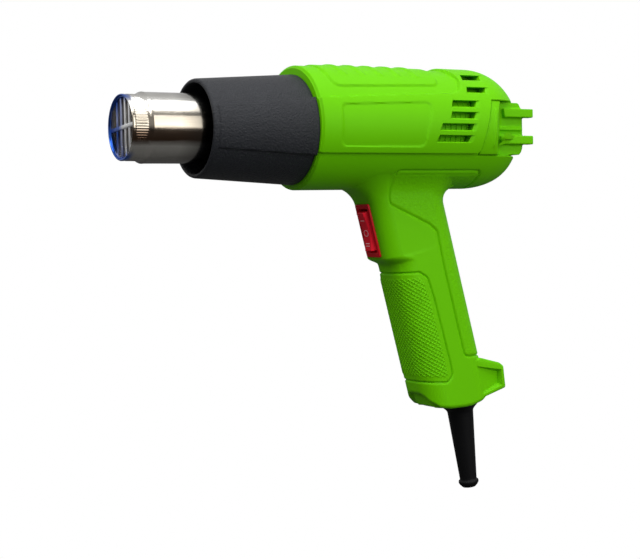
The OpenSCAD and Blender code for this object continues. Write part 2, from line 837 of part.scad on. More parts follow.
module rectifier_board() {
    slot_w = arm_w + 2 * gap;
    slot_t = arm_t + 0.5;
    color("seagreen") difference() {
        bar_x(board_x, board_x + board_t, 12);
        bar_x(board_x - 1, board_x + 3, bush_r);
        for (side = [-1, 1])
            translate([board_x - 1, -slot_w / 2, side * brush_z - slot_t / 2]) cube([4, slot_w, slot_t]);
    }
}

module rectifier_diodes() {
    diode_r = 1.4;
    color("black") for (i = [-1, 1], j = [-1, 1])
        translate([board_x + board_t + diode_r, i * 6, j * 4.2]) rotate([90, 0, 0])
            cylinder(h = 5, r = diode_r, center = true);
}

// The switch's own frame: X towards the rear, Z up, origin in the middle of the bezel's face
module at_switch() {
    at_handle() translate([switch_front - bezel_t, 0, switch_mid]) children();
}

// Plan outline of the rear cover: it narrows behind a ridge, and its rear corners are round
function cap_plan() = rounded([
    [dome_x - 12, -50], [cap_ridge_x, -50], [cap_ridge_x, 1 - skin_r], [cap_neck_x, -cap_side],
    [cap_rear, -cap_side], [cap_rear, cap_side], [cap_neck_x, cap_side], [cap_ridge_x, skin_r - 1],
    [cap_ridge_x, 50], [dome_x - 12, 50]],
    [0, 0, 0, 3, 4, 4, 3, 0, 0, 0]);

// Side-view outline of the cover's crowned rear, or of the space inside it
function crown_outline(inset) =
    let (back = cap_rear - inset, low = cap_low + 1.2 + inset, high = cap_high - 0.2 - inset)
    rounded([
        [cap_ridge_x - 3 - inset, low], [back - 4, low], [back - 1, -10 + inset], [back, 0],
        [back - 1.3, 10.9 - inset], [back - 4.8, high], [cap_ridge_x - 3 - inset, high]],
        [0, 1.5, 2, 8, 2, 1.5, 0], 3);

// Rear intake cover: it follows the skin in front, narrows behind, and carries four feet
module rear_cap() {
    bar_pitch = 4.9;
    color("limegreen") {
        difference() {
            union() {
                intersection() {
                    union() {
                        intersection() {
                            skin_round(dome_x - 12, 0);
                            side_prism(cap_outline(0), -50, 50);
                        }
                        side_prism(crown_outline(0), -cap_side, cap_side);
                    }
                    translate([0, 0, -50]) linear_extrude(height = 100) polygon(cap_plan());
                }
                // Lip behind the housing wall
                intersection() {
                    barrel_form(dome_x - 10, wall + gap);
                    translate([dome_x - 9, -50, cap_low - 3])
                        cube([cap_ridge_x - gap - dome_x + 9, 100, cap_high - cap_low + 6]);
                }
            }
            // Hollow inside: round in front, and a narrower room behind the ridge
            intersection() {
                barrel_form(dome_x - 22, 2 * wall + gap);
                translate([dome_x - 22, -50, -50]) cube([cap_ridge_x - wall - dome_x + 22, 100, 100]);
            }
            side_prism(crown_outline(wall), -cap_inner, cap_inner);
            // Slots through the crowned back
            for (i = [-2 : 2])
                translate([cap_rear - 8, -13, foot_mid + i * bar_pitch - 1.8]) cube([20, 26, 2.4]);
        }
        for (side = [-1, 1]) {
            for (row = [-1, 1]) {
                x0 = cap_neck_x + (row < 0 ? -1 : 1.5);
                translate([x0, side < 0 ? -foot_y : cap_inner, foot_mid + row * foot_pitch / 2 - foot_t / 2])
                    cube([foot_end - x0, foot_y - cap_inner, foot_t]);
            }
            // Rib between the feet
            translate([cap_neck_x - 2, side < 0 ? 1.4 - foot_y : cap_inner, 0])
                cube([cap_rear - 3 - cap_neck_x, foot_y - cap_inner - 1.4, 1.6]);
        }
    }
}

module switch_body() {
    // Room for the paddle's ends, which swing about the pivot
    window_len = paddle_len * cos(paddle_swing) + 2 * (paddle_pivot + paddle_rise) * sin(paddle_swing) + 2 * gap;
    window_w = paddle_w + 0.6;
    case_len = bezel_len - 3;
    case_w = bezel_w - 2;
    case_depth = 18;
    color("firebrick") at_switch() difference() {
        union() {
            translate([0, -bezel_w / 2, -bezel_len / 2]) cube([bezel_t, bezel_w, bezel_len]);
            translate([bezel_t - 0.1, -case_w / 2, -case_len / 2]) cube([case_depth, case_w, case_len]);
            // Snap wedges that hold the switch behind the housing wall
            for (side = [-1, 1])
                side_prism([
                    [bezel_t + wall + gap, side * case_len / 2], [bezel_t + wall + gap, side * (case_len / 2 + 0.8)],
                    [bezel_t + wall + 5, side * case_len / 2]], -2.5, 2.5);
        }
        translate([-1, -window_w / 2, -window_len / 2]) cube([case_depth - 0.8, window_w, window_len]);
        // Trunnion bores
        translate([paddle_pivot, 0, 0]) rotate([90, 0, 0])
            cylinder(h = case_w + 1, r = 1.5 + run_gap, center = true);
    }
}

// The paddle tilts about its trunnions
module switch_rocker() {
    half = paddle_len / 2;
    mid_h = 0.5;
    foot = paddle_pivot - 4;
    keel = paddle_pivot + 2.6;
    color("red") at_switch() {
        side_prism(concat(
            [[foot, half - 1], [-paddle_rise, half]],
            [for (t = [0.8 : -0.2 : -0.8]) [-mid_h - (paddle_rise - mid_h) * pow(t, 2), half * t]],
            [[-paddle_rise, -half], [foot, 1 - half], [keel, -3.4], [keel, 3.4]]),
            -paddle_w / 2, paddle_w / 2);
        translate([paddle_pivot, 0, 0]) rotate([90, 0, 0])
            cylinder(h = bezel_w - 2.2, r = 1.5, center = true);
    }
}

module switch_terminals() {
    color("goldenrod") at_switch() for (i = [-1, 0, 1])
        translate([bezel_t + 17.9, -2.4, i * 9 - 0.4]) cube([8, 4.8, 0.8]);
}

module cord_boot() {
    neck_z = -2.4;
    ring_r = boot_end_r + 0.9;
    color("#1c1c1c") at_boot() rotate_extrude() polygon([
        [cord_hole_r, collar_z + 3], [boot_collar_r, collar_z + 3], [boot_collar_r, collar_z],
        [boot_neck_r, collar_z], [boot_neck_r, flange_top], [boot_flange_r, flange_top],
        [boot_flange_r, flange_top - 0.8], [boot_top_r, neck_z], [boot_end_r, 5 - boot_len],
        [ring_r, 4 - boot_len], [ring_r, 2.4 - boot_len], [boot_end_r - 1, -boot_len],
        [cord_hole_r, -boot_len]]);
}

module suppressor() {
    color("gold") at_handle() translate([-7, -grip_w / 2 + wall + gap, -87]) cube([16, 7, 13]);
}

module cord_clamp() {
    color("whitesmoke") difference() {
        at_handle() translate([boot_u - 12, gap / 2 - clamp_y, seat_top + 3]) cube([24, 4, 7]);
        at_handle() translate([boot_u, -2.2, seat_top]) cylinder(h = 14, r = cord_hole_r);
        at_clamp_screws() translate([0, 0, -5]) cylinder(h = 10, r = screw_r + 0.15);
    }
}

module clamp_screws() {
    head_y = gap / 2 - clamp_y + 4;
    color("gray") at_clamp_screws() {
        translate([0, 0, head_y]) cylinder(h = 1.8, r = 2.7);
        translate([0, 0, -7]) cylinder(h = head_y + 7.1, r = screw_r - 0.1);
    }
}

module housing_screws() {
    color("dimgray") at_bosses() {
        translate([0, 0, -8.4]) cylinder(h = 2.4, r = screw_head_r);
        translate([0, 0, -6.1]) cylinder(h = 14, r = screw_r);
    }
}

housing_left();
housing_right();
front_sleeve();
nozzle_tube();
outlet_grille();
rear_cap();
switch_body();
switch_rocker();
switch_terminals();
cord_boot();
insulator_tube();
heater_core();
heater_coil();
heater_base();
thermal_cutout();
tube_flange();
flange_screws();
air_duct();
fan_impeller();
motor_shaft();
motor_armature();
commutator();
motor_can();
motor_magnets();
shaft_bushes();
motor_end_bell();
motor_brushes();
motor_bracket();
motor_screws();
rectifier_board();
rectifier_diodes();
suppressor();
cord_clamp();
clamp_screws();
housing_screws();
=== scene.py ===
# Pistol-grip hot-air tool: lime housing, slate sleeve, bright steel outlet.
# The frame is in metres. Sizes here are in millimetres until a mesh is made.
import math
import bpy
import bmesh
import numpy as np
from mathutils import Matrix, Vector


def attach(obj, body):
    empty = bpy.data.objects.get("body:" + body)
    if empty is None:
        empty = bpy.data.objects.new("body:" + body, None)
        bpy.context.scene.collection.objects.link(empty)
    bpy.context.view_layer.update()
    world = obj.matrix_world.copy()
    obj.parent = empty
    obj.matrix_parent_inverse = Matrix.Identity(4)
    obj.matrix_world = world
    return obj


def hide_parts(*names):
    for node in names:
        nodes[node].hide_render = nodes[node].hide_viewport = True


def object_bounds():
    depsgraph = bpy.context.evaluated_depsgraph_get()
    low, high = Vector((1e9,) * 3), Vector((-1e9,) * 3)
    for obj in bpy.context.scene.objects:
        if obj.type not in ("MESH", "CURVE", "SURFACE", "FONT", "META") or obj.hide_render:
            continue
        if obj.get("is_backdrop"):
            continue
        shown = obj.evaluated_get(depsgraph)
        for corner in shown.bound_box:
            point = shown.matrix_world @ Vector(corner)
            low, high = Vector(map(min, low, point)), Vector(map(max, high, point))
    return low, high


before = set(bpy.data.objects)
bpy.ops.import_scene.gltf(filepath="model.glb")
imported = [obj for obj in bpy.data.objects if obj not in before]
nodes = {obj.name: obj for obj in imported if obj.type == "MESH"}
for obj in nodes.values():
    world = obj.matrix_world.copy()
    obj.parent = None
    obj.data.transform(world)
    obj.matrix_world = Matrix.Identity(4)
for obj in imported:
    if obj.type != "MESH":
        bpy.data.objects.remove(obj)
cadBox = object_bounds()
mm = 0.001


def addObject(name, data):
    thing = bpy.data.objects.new(name, data)
    bpy.context.scene.collection.objects.link(thing)
    return thing


# The camera comes before every piece: it stands where the photograph was taken from
view = {
    "azimuth": -29.91, "elevation": 2.46, "roll": -1.16, "distance": 789.43,
    "target": (116.4, 0.0, -82.6), "focalPixels": 1419.57, "framePixels": 640, "sensor": 36.0,
}


def addCamera(v):
    a, e, r = (math.radians(v[k]) for k in ("azimuth", "elevation", "roll"))
    back = Vector((math.sin(a) * math.cos(e), -math.cos(a) * math.cos(e), math.sin(e)))
    flat = Vector((math.cos(a), math.sin(a), 0.0))
    up = flat.cross(-back)
    right = flat * math.cos(r) + up * math.sin(r)
    up = up * math.cos(r) - flat * math.sin(r)
    data = bpy.data.cameras.new("photoCamera")
    data.sensor_width = v["sensor"]
    data.lens = v["focalPixels"] * v["sensor"] / v["framePixels"]
    data.clip_start = 0.01
    cam = addObject("photoCamera", data)
    place = (Vector(v["target"]) + back * v["distance"]) * mm
    m = cam.matrix_world.copy()
    for row in range(3):
        m[row][0], m[row][1], m[row][2], m[row][3] = right[row], up[row], back[row], place[row]
    cam.matrix_world = m
    bpy.context.scene.camera = cam


addCamera(view)
print("camera set")

# Shared mesh helpers


def smooth(t):
    t = np.clip(t, 0.0, 1.0)
    return t * t * (3 - 2 * t)


def inside(distance, soft):
    # 1 well inside an outline, 0 well outside, with an edge as wide as soft
    return smooth(0.5 - distance / soft)


def roundCorners(points, radii, steps=5):
    pts = [np.array(p, float) for p in points]
    out = []
    for i, q in enumerate(pts):
        r = radii[i] if isinstance(radii, (list, tuple)) else radii
        if r == 0:
            out.append(q)
            continue
        u = pts[i - 1] - q
        v = pts[(i + 1) % len(pts)] - q
        u /= np.linalg.norm(u)
        v /= np.linalg.norm(v)
        half = math.acos(np.clip(u @ v, -1, 1)) / 2
        mid = (u + v) / np.linalg.norm(u + v)
        c = q + mid * r / math.sin(half)
        a = q + u * r / math.tan(half) - c
        b = q + v * r / math.tan(half) - c
        start = math.atan2(a[1], a[0])
        turn = (math.atan2(b[1], b[0]) - start + math.pi) % (2 * math.pi) - math.pi
        for k in range(steps + 1):
            t = start + turn * k / steps
            out.append(c + r * np.array([math.cos(t), math.sin(t)]))
    return np.array(out)


def outlineDistance(x, y, outline):
    # Distance to an outline, negative inside
    best = np.full(x.shape, 1e9)
    odd = np.zeros(x.shape, bool)
    n = len(outline)
    for i in range(n):
        ax, ay = outline[i]
        bx, by = outline[(i + 1) % n]
        ex, ey = bx - ax, by - ay
        t = np.clip(((x - ax) * ex + (y - ay) * ey) / (ex * ex + ey * ey + 1e-12), 0, 1)
        best = np.minimum(best, np.hypot(x - ax - t * ex, y - ay - t * ey))
        if ay != by:
            crosses = ((ay > y) != (by > y)) & (x < (y - ay) * ex / (by - ay) + ax)
            odd ^= crosses
    return np.where(odd, -best, best)


def spaced(low, high, step, fine=()):
    # Places from low to high, closer together near each (place, reach, step) in fine
    out = [low]
    while out[-1] < high:
        s = step
        for place, reach, small in fine:
            if abs(out[-1] - place) < reach:
                s = min(s, small)
        out.append(out[-1] + s)
    out[-1] = high
    return np.array(out)


def newMesh(name, verts, faces):
    data = bpy.data.meshes.new(name)
    data.from_pydata((np.asarray(verts, float) * mm).tolist(), [], [list(map(int, f)) for f in faces])
    piece = addObject(name, data)
    tidyNormals(piece)
    return piece


def tidyNormals(piece, merge=0.0):
    bm = bmesh.new()
    bm.from_mesh(piece.data)
    if merge:
        bmesh.ops.remove_doubles(bm, verts=bm.verts, dist=merge * mm)
    bmesh.ops.recalc_face_normals(bm, faces=bm.faces)
    bm.to_mesh(piece.data)
    bm.free()


def shade(piece, angle=30):
    data = piece.data
    data.polygons.foreach_set("use_smooth", np.ones(len(data.polygons), bool))
    data.set_sharp_from_angle(angle=math.radians(angle))


def closedTube(name, rows):
    # A closed form from rings of points, with its two ends filled
    count, around = rows.shape[:2]
    verts = np.concatenate([rows.reshape(-1, 3), rows[0].mean(0)[None], rows[-1].mean(0)[None]])
    i, j = np.meshgrid(np.arange(count - 1), np.arange(around), indexing="ij")
    a = (i * around + j).ravel()
    b = (i * around + (j + 1) % around).ravel()
    faces = np.stack([a, b, b + around, a + around], 1).tolist()
    first, last = count * around, count * around + 1
    end = (count - 1) * around
    for k in range(around):
        n = (k + 1) % around
        faces.append([first, n, k])
        faces.append([last, end + k, end + n])
    return newMesh(name, verts, faces)


def ringForm(name, rows):
    # A closed form whose rings run round a bore: the last ring joins the first
    count, around = rows.shape[:2]
    i, j = np.meshgrid(np.arange(count), np.arange(around), indexing="ij")
    a = i * around + j
    b = i * around + (j + 1) % around
    c = ((i + 1) % count) * around + (j + 1) % around
    d = ((i + 1) % count) * around + j
    return newMesh(name, rows.reshape(-1, 3), np.stack([a, b, c, d], 2).reshape(-1, 4))


def roundForm(name, xs, radii, height, around):
    # A closed form of circles about a line along x, at the given height
    t = np.linspace(0, 2 * math.pi, around, endpoint=False)
    rows = []
    for x, r in zip(xs, radii):
        rows.append(np.stack([np.full(around, x), r * np.cos(t), height + r * np.sin(t)], 1))
    return closedTube(name, np.array(rows))


def turned(name, profile, around, height=0.0, ripple=None):
    # Turns a closed profile of (x, radius) about a line along x, at the given height
    profile = np.array(profile, float)
    t = np.linspace(0, 2 * math.pi, around, endpoint=False)
    x = np.repeat(profile[:, 0:1], around, 1)
    r = np.repeat(profile[:, 1:2], around, 1)
    turn = np.repeat(t[None], len(profile), 0)
    if ripple:
        r = r + ripple(x, turn, r)
    return ringForm(name, np.stack([x, r * np.cos(turn), r * np.sin(turn) + height], 2))


def prismOf(name, rows):
    # A closed form between two outlines with the same number of points
    n = len(rows[0])
    faces = [list(range(n)), list(range(2 * n - 1, n - 1, -1))]
    faces += [[k, (k + 1) % n, n + (k + 1) % n, n + k] for k in range(n)]
    return newMesh(name, np.concatenate(rows), faces)


def prism(name, outline, y0, y1, bevel=0.0, segments=2):
    # A side-view outline (x, z) drawn out from y0 to y1
    piece = prismOf(name, [[(p[0], y, p[1]) for p in outline] for y in (y0, y1)])
    if bevel:
        bevelEdges(piece, bevel, segments)
    return piece


def block(name, low, high):
    outline = [(low[0], low[2]), (high[0], low[2]), (high[0], high[2]), (low[0], high[2])]
    return prism(name, outline, low[1], high[1])


def bevelEdges(piece, width, segments):
    mod = piece.modifiers.new("bevel", "BEVEL")
    mod.width = width * mm
    mod.segments = segments
    mod.limit_method = "ANGLE"
    mod.angle_limit = math.radians(30)
    settle(piece)


def settle(piece):
    # Turns what the modifiers make into the piece's own mesh
    deps = bpy.context.evaluated_depsgraph_get()
    data = bpy.data.meshes.new_from_object(piece.evaluated_get(deps))
    old = piece.data
    piece.modifiers.clear()
    piece.data = data
    data.name = piece.name
    bpy.data.meshes.remove(old)


def combine(piece, other, how):
    # Joins or cuts a closed form with another one, which is then gone
    mod = piece.modifiers.new("cut", "BOOLEAN")
    mod.operation = how
    mod.solver = "MANIFOLD"
    mod.object = other
    settle(piece)
    removePiece(other)


def removePiece(piece):
    data = piece.data
    bpy.data.objects.remove(piece)
    bpy.data.meshes.remove(data)


def join(pieces, name):
    # Several closed forms as one object
    bm = bmesh.new()
    for p in pieces:
        bm.from_mesh(p.data)
    data = bpy.data.meshes.new(name)
    bm.to_mesh(data)
    bm.free()
    for p in pieces:
        removePiece(p)
    return addObject(name, data)


# The handle's own frame: u to the rear, w up along the handle
handle = {"x": 162.2, "tilt": math.radians(14.4), "length": 168.0}
leanCos, leanSin = math.cos(handle["tilt"]), math.sin(handle["tilt"])


def fromHandle(p):
    # (u, y, w) in the handle's frame to (x, y, z)
    p = np.asarray(p, float)
    return np.stack([handle["x"] + p[..., 0] * leanCos - p[..., 2] * leanSin, p[..., 1],
                     p[..., 0] * leanSin + p[..., 2] * leanCos], -1)


def sideOutline(points):
    # Points given in the handle's frame as a side-view outline
    return [tuple(fromHandle((u, 0, w))[[0, 2]]) for u, w in points]


# Housing

barrel = {
    "rim": 100.0, "domeStart": 212.0, "end": 238.0, "axis": 0.3, "radius": 33.3, "flat": 22.0,
    "skinRadius": 35.49, "skinAxis": 1.1, "skinDome": 213.0, "skinFlat": 22.6, "chamfer": 1.5,
    "padHeight": 2.3, "ribHeight": 0.6, "ribHalf": 1.7, "ribAcross": 20.5, "panelDepth": 0.6,
    "grooveDepth": 0.85, "grooveHalf": 0.5, "topSkin": 0.5, "skinEdge": -14.3,
    "ribs": (122.3, 133.9, 145.5, 157.2, 168.8),
}
# Side-view outlines of the raised skin, the top pad, the side panel, the rear saddle and the front grip
skinOutline = roundCorners(
    [(90, barrel["skinEdge"]), (204, barrel["skinEdge"]), (210, -6), (232, -6), (232, barrel["skinEdge"]),
     (260, barrel["skinEdge"]), (260, 60), (184, 60), (193, 38), (197, 29.5), (191.5, 20.8), (90, 15.2)],
    [0, 6, 0, 0, 0, 0, 0, 0, 4, 6, 7, 0])
padOutline = roundCorners([(111.5, 22.6), (181.5, 25.0), (184, 60), (109, 60)], [5, 5, 0, 0])
panelOutline = roundCorners([(112.4, -10.5), (165.3, -10.3), (171, 14.4), (112.8, 12.1)], 3)
saddleOutline = roundCorners(
    [(153.6, -24.5), (211, -24.5), (211, -60), (240, -130), (203, -130.2), (189.8, -79.5), (185, -57.5),
     (179.9, -53.4), (153.4, -41.5)], [3, 3, 0, 0, 3, 0, 3, 3, 3])
gripOutline = roundCorners(
    [(140, -81.9), (172.5, -80.3), (178.0, -83.6), (182.5, -96.4), (192.2, -131.4), (194.4, -140.6),
     (190.6, -144.4), (171.2, -143.6), (150, -138)], [0, 3, 4, 0, 4, 4, 4, 0, 0])


def domeFall(x, start, end, radius, flat, turn):
    # Radius of a barrel that rounds off between start and end
    t = np.arcsin(np.clip((x - start) / (end - start), 0, 1) * math.sin(turn))
    return radius - (radius - flat) * (1 - np.cos(t)) / (1 - math.cos(turn))


def grooveAt(x, z, outline):
    # 1 on an outline, falling off to 0 beside it
    return np.exp(-(outlineDistance(x, z, outline) / barrel["grooveHalf"]) ** 2)


def barrelRadius(x, turn):
    b = barrel
    up = np.sin(turn)
    base = domeFall(x, b["domeStart"], b["end"], b["radius"], b["flat"], math.pi / 2 * 0.999)
    skin = domeFall(x, b["skinDome"], b["end"], b["skinRadius"], b["skinFlat"], math.radians(55))
    skin = skin + (b["skinAxis"] - b["axis"]) * up
    z = b["axis"] + skin * up
    share = inside(outlineDistance(x, z, skinOutline), 0.9 + 0.9 * smooth((z - 17.0) / 4.0))
    share = np.maximum(share, b["topSkin"] * smooth((z - 4.0) / 4.0))
    r = base + (skin - base) * share
    pad = inside(outlineDistance(x, z, padOutline), 1.1)
    along = np.min([np.abs(x - place) for place in b["ribs"]], 0)
    across = np.abs(r * np.cos(turn)) - b["ribAcross"]
    rib = inside(along - b["ribHalf"], 1.2) * inside(across, 1.6)
    padRadius = b["radius"] + b["padHeight"] + b["ribHeight"] * rib
    r = np.where(z > 0, r + (padRadius - r) * pad, r)
    r = r - b["panelDepth"] * inside(outlineDistance(x, z, panelOutline), 0.8)
    # a soft groove round the saddle under the barrel
    r = r - b["grooveDepth"] * np.where(z < 0, grooveAt(x, z, saddleOutline), 0.0)
    return r - b["chamfer"] * smooth(1 - (x - b["rim"]) / b["chamfer"]) ** 1.2


def barrelForm():
    # Rings along the barrel, closer together near the skin's lower edge and the pad's edge
    b = barrel
    xs = spaced(b["rim"], b["end"], 0.75, [(100.5, 1.5, 0.25), (197, 2, 0.5)])
    edge = math.asin((b["skinEdge"] - b["axis"]) / 34.3)
    near = [(edge, 0.035, 0.0075), (math.radians(40), 0.1, 0.014)]
    half = spaced(-math.pi / 2, math.pi / 2, 0.0205, near)
    turns = np.concatenate([half, (math.pi - half[::-1])[1:-1]])
    x, turn = np.meshgrid(xs, turns, indexing="ij")
    r = barrelRadius(x, turn)
    return closedTube("housingForm", np.stack([x, r * np.cos(turn), b["axis"] + r * np.sin(turn)], 2))


grip = {
    "front": -22.15, "back": 22.15, "switchFront": -26.75, "half": 16.0, "cornerFront": 12.0,
    "cornerSwitch": 9.0, "cornerBack": 13.0, "top": -12.0, "foot": -68.6, "rootFront": 10.5,
    "rootSide": 6.0, "bottomRound": 2.6, "knurlPitch": 2.75, "knurlLean": 1.05, "knurlHeight": 0.42,
    "knurlHalf": 0.24, "knurlInset": 3.4, "groove": 0.95, "blockDraft": 0.07, "around": 360,
    "bendFrom": 108.0,
}
bottomLine = np.array([(-30, -149), (-22.2, -151), (-20, -156), (-16, -160.4), (-9, -162.8), (0, -165.0),
                       (5, -165.9), (14, -165.7), (23, -164.9), (30, -164.5)])


def handleSection(frontU, radius, draft):
    # Ring of points round the handle's section, closer together in front, with outward directions
    g = grip
    corners = [(g["back"], -g["half"]), (g["back"], g["half"]), (frontU, g["half"]), (frontU, -g["half"])]
    pts = roundCorners(corners, [g["cornerBack"], g["cornerBack"], radius, radius], 24)
    pts = np.concatenate([pts, pts[:1]])
    pts[:, 1] *= 1 - draft * smooth((-13.0 - pts[:, 0]) / 12.0)
    step = np.linalg.norm(np.diff(pts, axis=0), axis=1)
    run = np.concatenate([[0], np.cumsum(step)])
    weight = 1.0 + 1.5 * smooth((13.0 - pts[:, 0]) / 3.0)
    dense = np.concatenate([[0], np.cumsum(step * (weight[1:] + weight[:-1]) / 2)])
    want = np.interp(np.linspace(0, dense[-1], g["around"], endpoint=False), dense, run)
    ring = np.stack([np.interp(want, run, pts[:, 0]), np.interp(want, run, pts[:, 1])], 1)
    ahead = np.roll(ring, -1, 0) - np.roll(ring, 1, 0)
    out = np.stack([ahead[:, 1], -ahead[:, 0]], 1)
    out /= np.linalg.norm(out, axis=1)[:, None]
    # the way round is measured from the middle of the front, so that the ribs match on both sides
    middle = np.interp(0.0, pts[50:76, 1][::-1], run[50:76][::-1])
    return ring, out, want - middle


def frontAt(w):
    # How far the front of the handle stands out, its corner radius and its draft, at a height along it
    g = grip
    t = smooth((w - (g["foot"] - 4.5)) / 5.5)
    scoop = 0.5 * math.exp(-((w + 75.5) / 3.5) ** 2)
    corner = g["cornerFront"] + (g["cornerSwitch"] - g["cornerFront"]) * t
    return g["front"] + (g["switchFront"] - g["front"]) * t + scoop, corner, g["blockDraft"] * t


def panelRelief(x, z, way, level):
    # Grooves round the two grip panels, and the crossed ribs on the front one
    g = grip
    a = (way + level * g["knurlLean"]) / g["knurlPitch"]
    c = (way - level * g["knurlLean"]) / g["knurlPitch"]
    line = np.minimum(np.abs(a - np.round(a)), np.abs(c - np.round(c)))
    on = inside(outlineDistance(x, z, gripOutline) + g["knurlInset"], 1.6)
    relief = g["knurlHeight"] * (1 - smooth(line / g["knurlHalf"])) * on
    relief = relief - g["groove"] * grooveAt(x, z, gripOutline)
    return relief - barrel["grooveDepth"] * grooveAt(x, z, saddleOutline)


def rootPush(ring, out, level):
    # How far each point of the handle moves out to roll into the barrel
    g = grip
    size = g["rootSide"] + (g["rootFront"] - g["rootSide"]) * np.abs(out[..., 0])
    moved = np.zeros(level.shape)
    last = np.zeros(level.shape[1])
    cols = np.arange(level.shape[1])
    steps = 40
    for k in range(len(level) - 1, -1, -1):
        tries = np.linspace(0, 1, steps + 1)[:, None] * size[k][None]
        clear = np.array([rootClear(ring[k], out[k], level[k], t) for t in tries])
        value = (size[k] - tries) ** 2 + np.maximum(size[k] - clear, 0) ** 2 - size[k] ** 2
        good = (value <= 1e-9) & (clear >= 0)
        first = good.argmax(0)
        before = np.maximum(first - 1, 0)
        v0, v1 = value[before, cols], value[first, cols]
        part = np.where(first > 0, v0 / np.maximum(v0 - v1, 1e-9), 0)
        best = (before + (first - before) * part) / steps * size[k]
        last = np.where(good.any(0), best, last)
        moved[k] = last
    return moved


def handleForm():
    g = grip
    foot = 166.0
    heights = -spaced(-g["top"], foot, 0.8, [(-g["foot"] + 4, 9, 0.4), (113, 34, 0.36), (160, 8, 0.4)])
    sections = [handleSection(*frontAt(w)) for w in heights]
    ring, out, way = (np.array([q[k] for q in sections]) for k in range(3))
    drop = np.interp(ring[..., 0], bottomLine[:, 0], bottomLine[:, 1])
    bend = smooth((-heights - g["bendFrom"]) / (foot - g["bendFrom"]))[:, None]
    level = heights[:, None] + (drop + foot) * bend
    # the bottom edge is rounded
    left = np.clip(level - drop, 0, g["bottomRound"])
    inset = g["bottomRound"] - np.sqrt(g["bottomRound"] ** 2 - (g["bottomRound"] - left) ** 2)
    ring = ring - out * inset[..., None]
    p = fromHandle(np.stack([ring[..., 0], ring[..., 1], level], 2))
    ring = ring + out * panelRelief(p[..., 0], p[..., 2], way, level)[..., None]
    ring = ring + out * rootPush(ring, out, level)[..., None]
    p = fromHandle(np.stack([ring[..., 0], ring[..., 1], level], 2))
    for part in (0.9, 0.75, 0.5, 0.25):
        rim = ring[-1] * part
        w = np.interp(rim[:, 0], bottomLine[:, 0], bottomLine[:, 1])
        p = np.concatenate([p, fromHandle(np.stack([rim[:, 0], rim[:, 1], w], 1))[None]])
    return closedTube("handleForm", p)


def rootClear(ring, out, level, t):
    # How far a point of the handle's side, pushed out by t, stays clear of the barrel
    q = ring + out * np.asarray(t)[:, None]
    p = fromHandle(np.stack([q[:, 0], q[:, 1], level], 1))
    return np.hypot(p[:, 1], p[:, 2] - barrel["axis"]) - barrel["radius"]


heel = {"top": -140.0, "tip": 33.15, "half": 15.0, "bevel": 1.4, "pocket": 3.0}


def heelForm():
    h = heel
    t, tip = h["top"], h["tip"]
    outline = roundCorners(
        [(0, t), (18.2, t - 0.6), (tip - 2.2, t - 7.8), (tip, t - 10.5), (tip - 1.8, -163.4), (0, -164.6)],
        [0, 5, 1.5, 1.5, 1.5, 0], 4)
    form = prism("heel", sideOutline(outline), -h["half"], h["half"], h["bevel"], 3)
    for side in (-1, 1):
        # the pocket gets deeper towards the tip
        inner = [(15.0, t - 5.4, 0.6), (tip - 3.9, t - 12.8, h["pocket"]), (tip - 5.6, -159.4, h["pocket"]),
                 (15.0, -160.6, 0.6)]
        outer = [(14.0, t - 4.2), (tip - 2.3, t - 11.8), (tip - 4.1, -161.2), (14.0, -162.2)]
        rows = [[fromHandle((u, side * (h["half"] - deep), w)) for u, w, deep in inner],
                [fromHandle((u, side * (h["half"] + 0.2), w)) for u, w in outer]]
        combine(form, prismOf("heelPocket", rows), "DIFFERENCE")
    return form


vents = {
    "height": 3.5, "upperLess": 0.4, "lean": 1.6, "deep": 8.0, "rim": 0.7, "ramp": 2.2, "rimDepth": 0.9,
}
ventSlots = [(174.4, 198.0, -7.5), (176.3, 199.9, -1.0), (183.4, 201.8, 5.6), (185.3, 203.6, 12.2),
             (198.6, 213.6, 20.7), (200.4, 215.4, 28.3)]


def finer(outline, counts):
    # The same outline with the given number of steps along each side
    out = []
    for a, b, n in zip(outline, list(outline[1:]) + [outline[0]], counts):
        out += [(a[0] + (b[0] - a[0]) * k / n, a[1] + (b[1] - a[1]) * k / n) for k in range(n)]
    return np.array(out)


def skinSide(points):
    # Half-width of the housing at side-view points
    x = np.clip(points[:, 0], barrel["rim"] + 3, barrel["end"] - 1)
    half = np.full(len(x), 20.0)
    for _ in range(12):
        turn = np.arctan2(points[:, 1] - barrel["axis"], half)
        r = barrelRadius(x, turn)
        half = np.sqrt(np.maximum(r ** 2 - (points[:, 1] - barrel["axis"]) ** 2, 9.0))
    return half


def mouthCutter(name, inner, outer, side, deep, rimDepth):
    # Cuts straight in with one outline, and flares to a wider one at the surface
    counts = [max(1, round(math.dist(a, b) / 2.0)) for a, b in zip(inner, inner[1:] + inner[:1])]
    inner, outer = finer(inner, counts), finer(outer, counts)
    near, wide = skinSide(inner), skinSide(outer)
    levels = [(inner, np.full(len(inner), deep)), (inner, near - rimDepth)]
    levels += [(outer, wide + 0.02), (outer, wide + 4.0)]
    rows = [np.stack([q[:, 0], side * y, q[:, 1]], 1) for q, y in levels]
    return closedTube(name, np.array(rows))


def ventCutters():
    # Slanted slots, with a wide ramp at the rear end of each, on both sides
    v = vents
    out = []
    lean, rim, ramp = v["lean"] / 2, v["rim"], v["ramp"]
    for number, (x0, x1, z0) in enumerate(ventSlots):
        z1 = z0 + v["height"] - (v["upperLess"] if number > 3 else 0)
        x1 = x1 - ramp
        inner = [(x0 - lean, z0), (x1 - lean, z0), (x1 + lean, z1), (x0 + lean, z1)]
        outer = [(x0 - lean - rim * 1.4, z0 - rim), (x1 - lean + ramp, z0 - rim),
                 (x1 + lean + ramp, z1 + rim * 0.3), (x0 + lean - rim, z1 + rim * 0.3)]
        for side in (-1, 1):
            out.append(mouthCutter("slot", inner, outer, side, v["deep"], v["rimDepth"]))
    return out


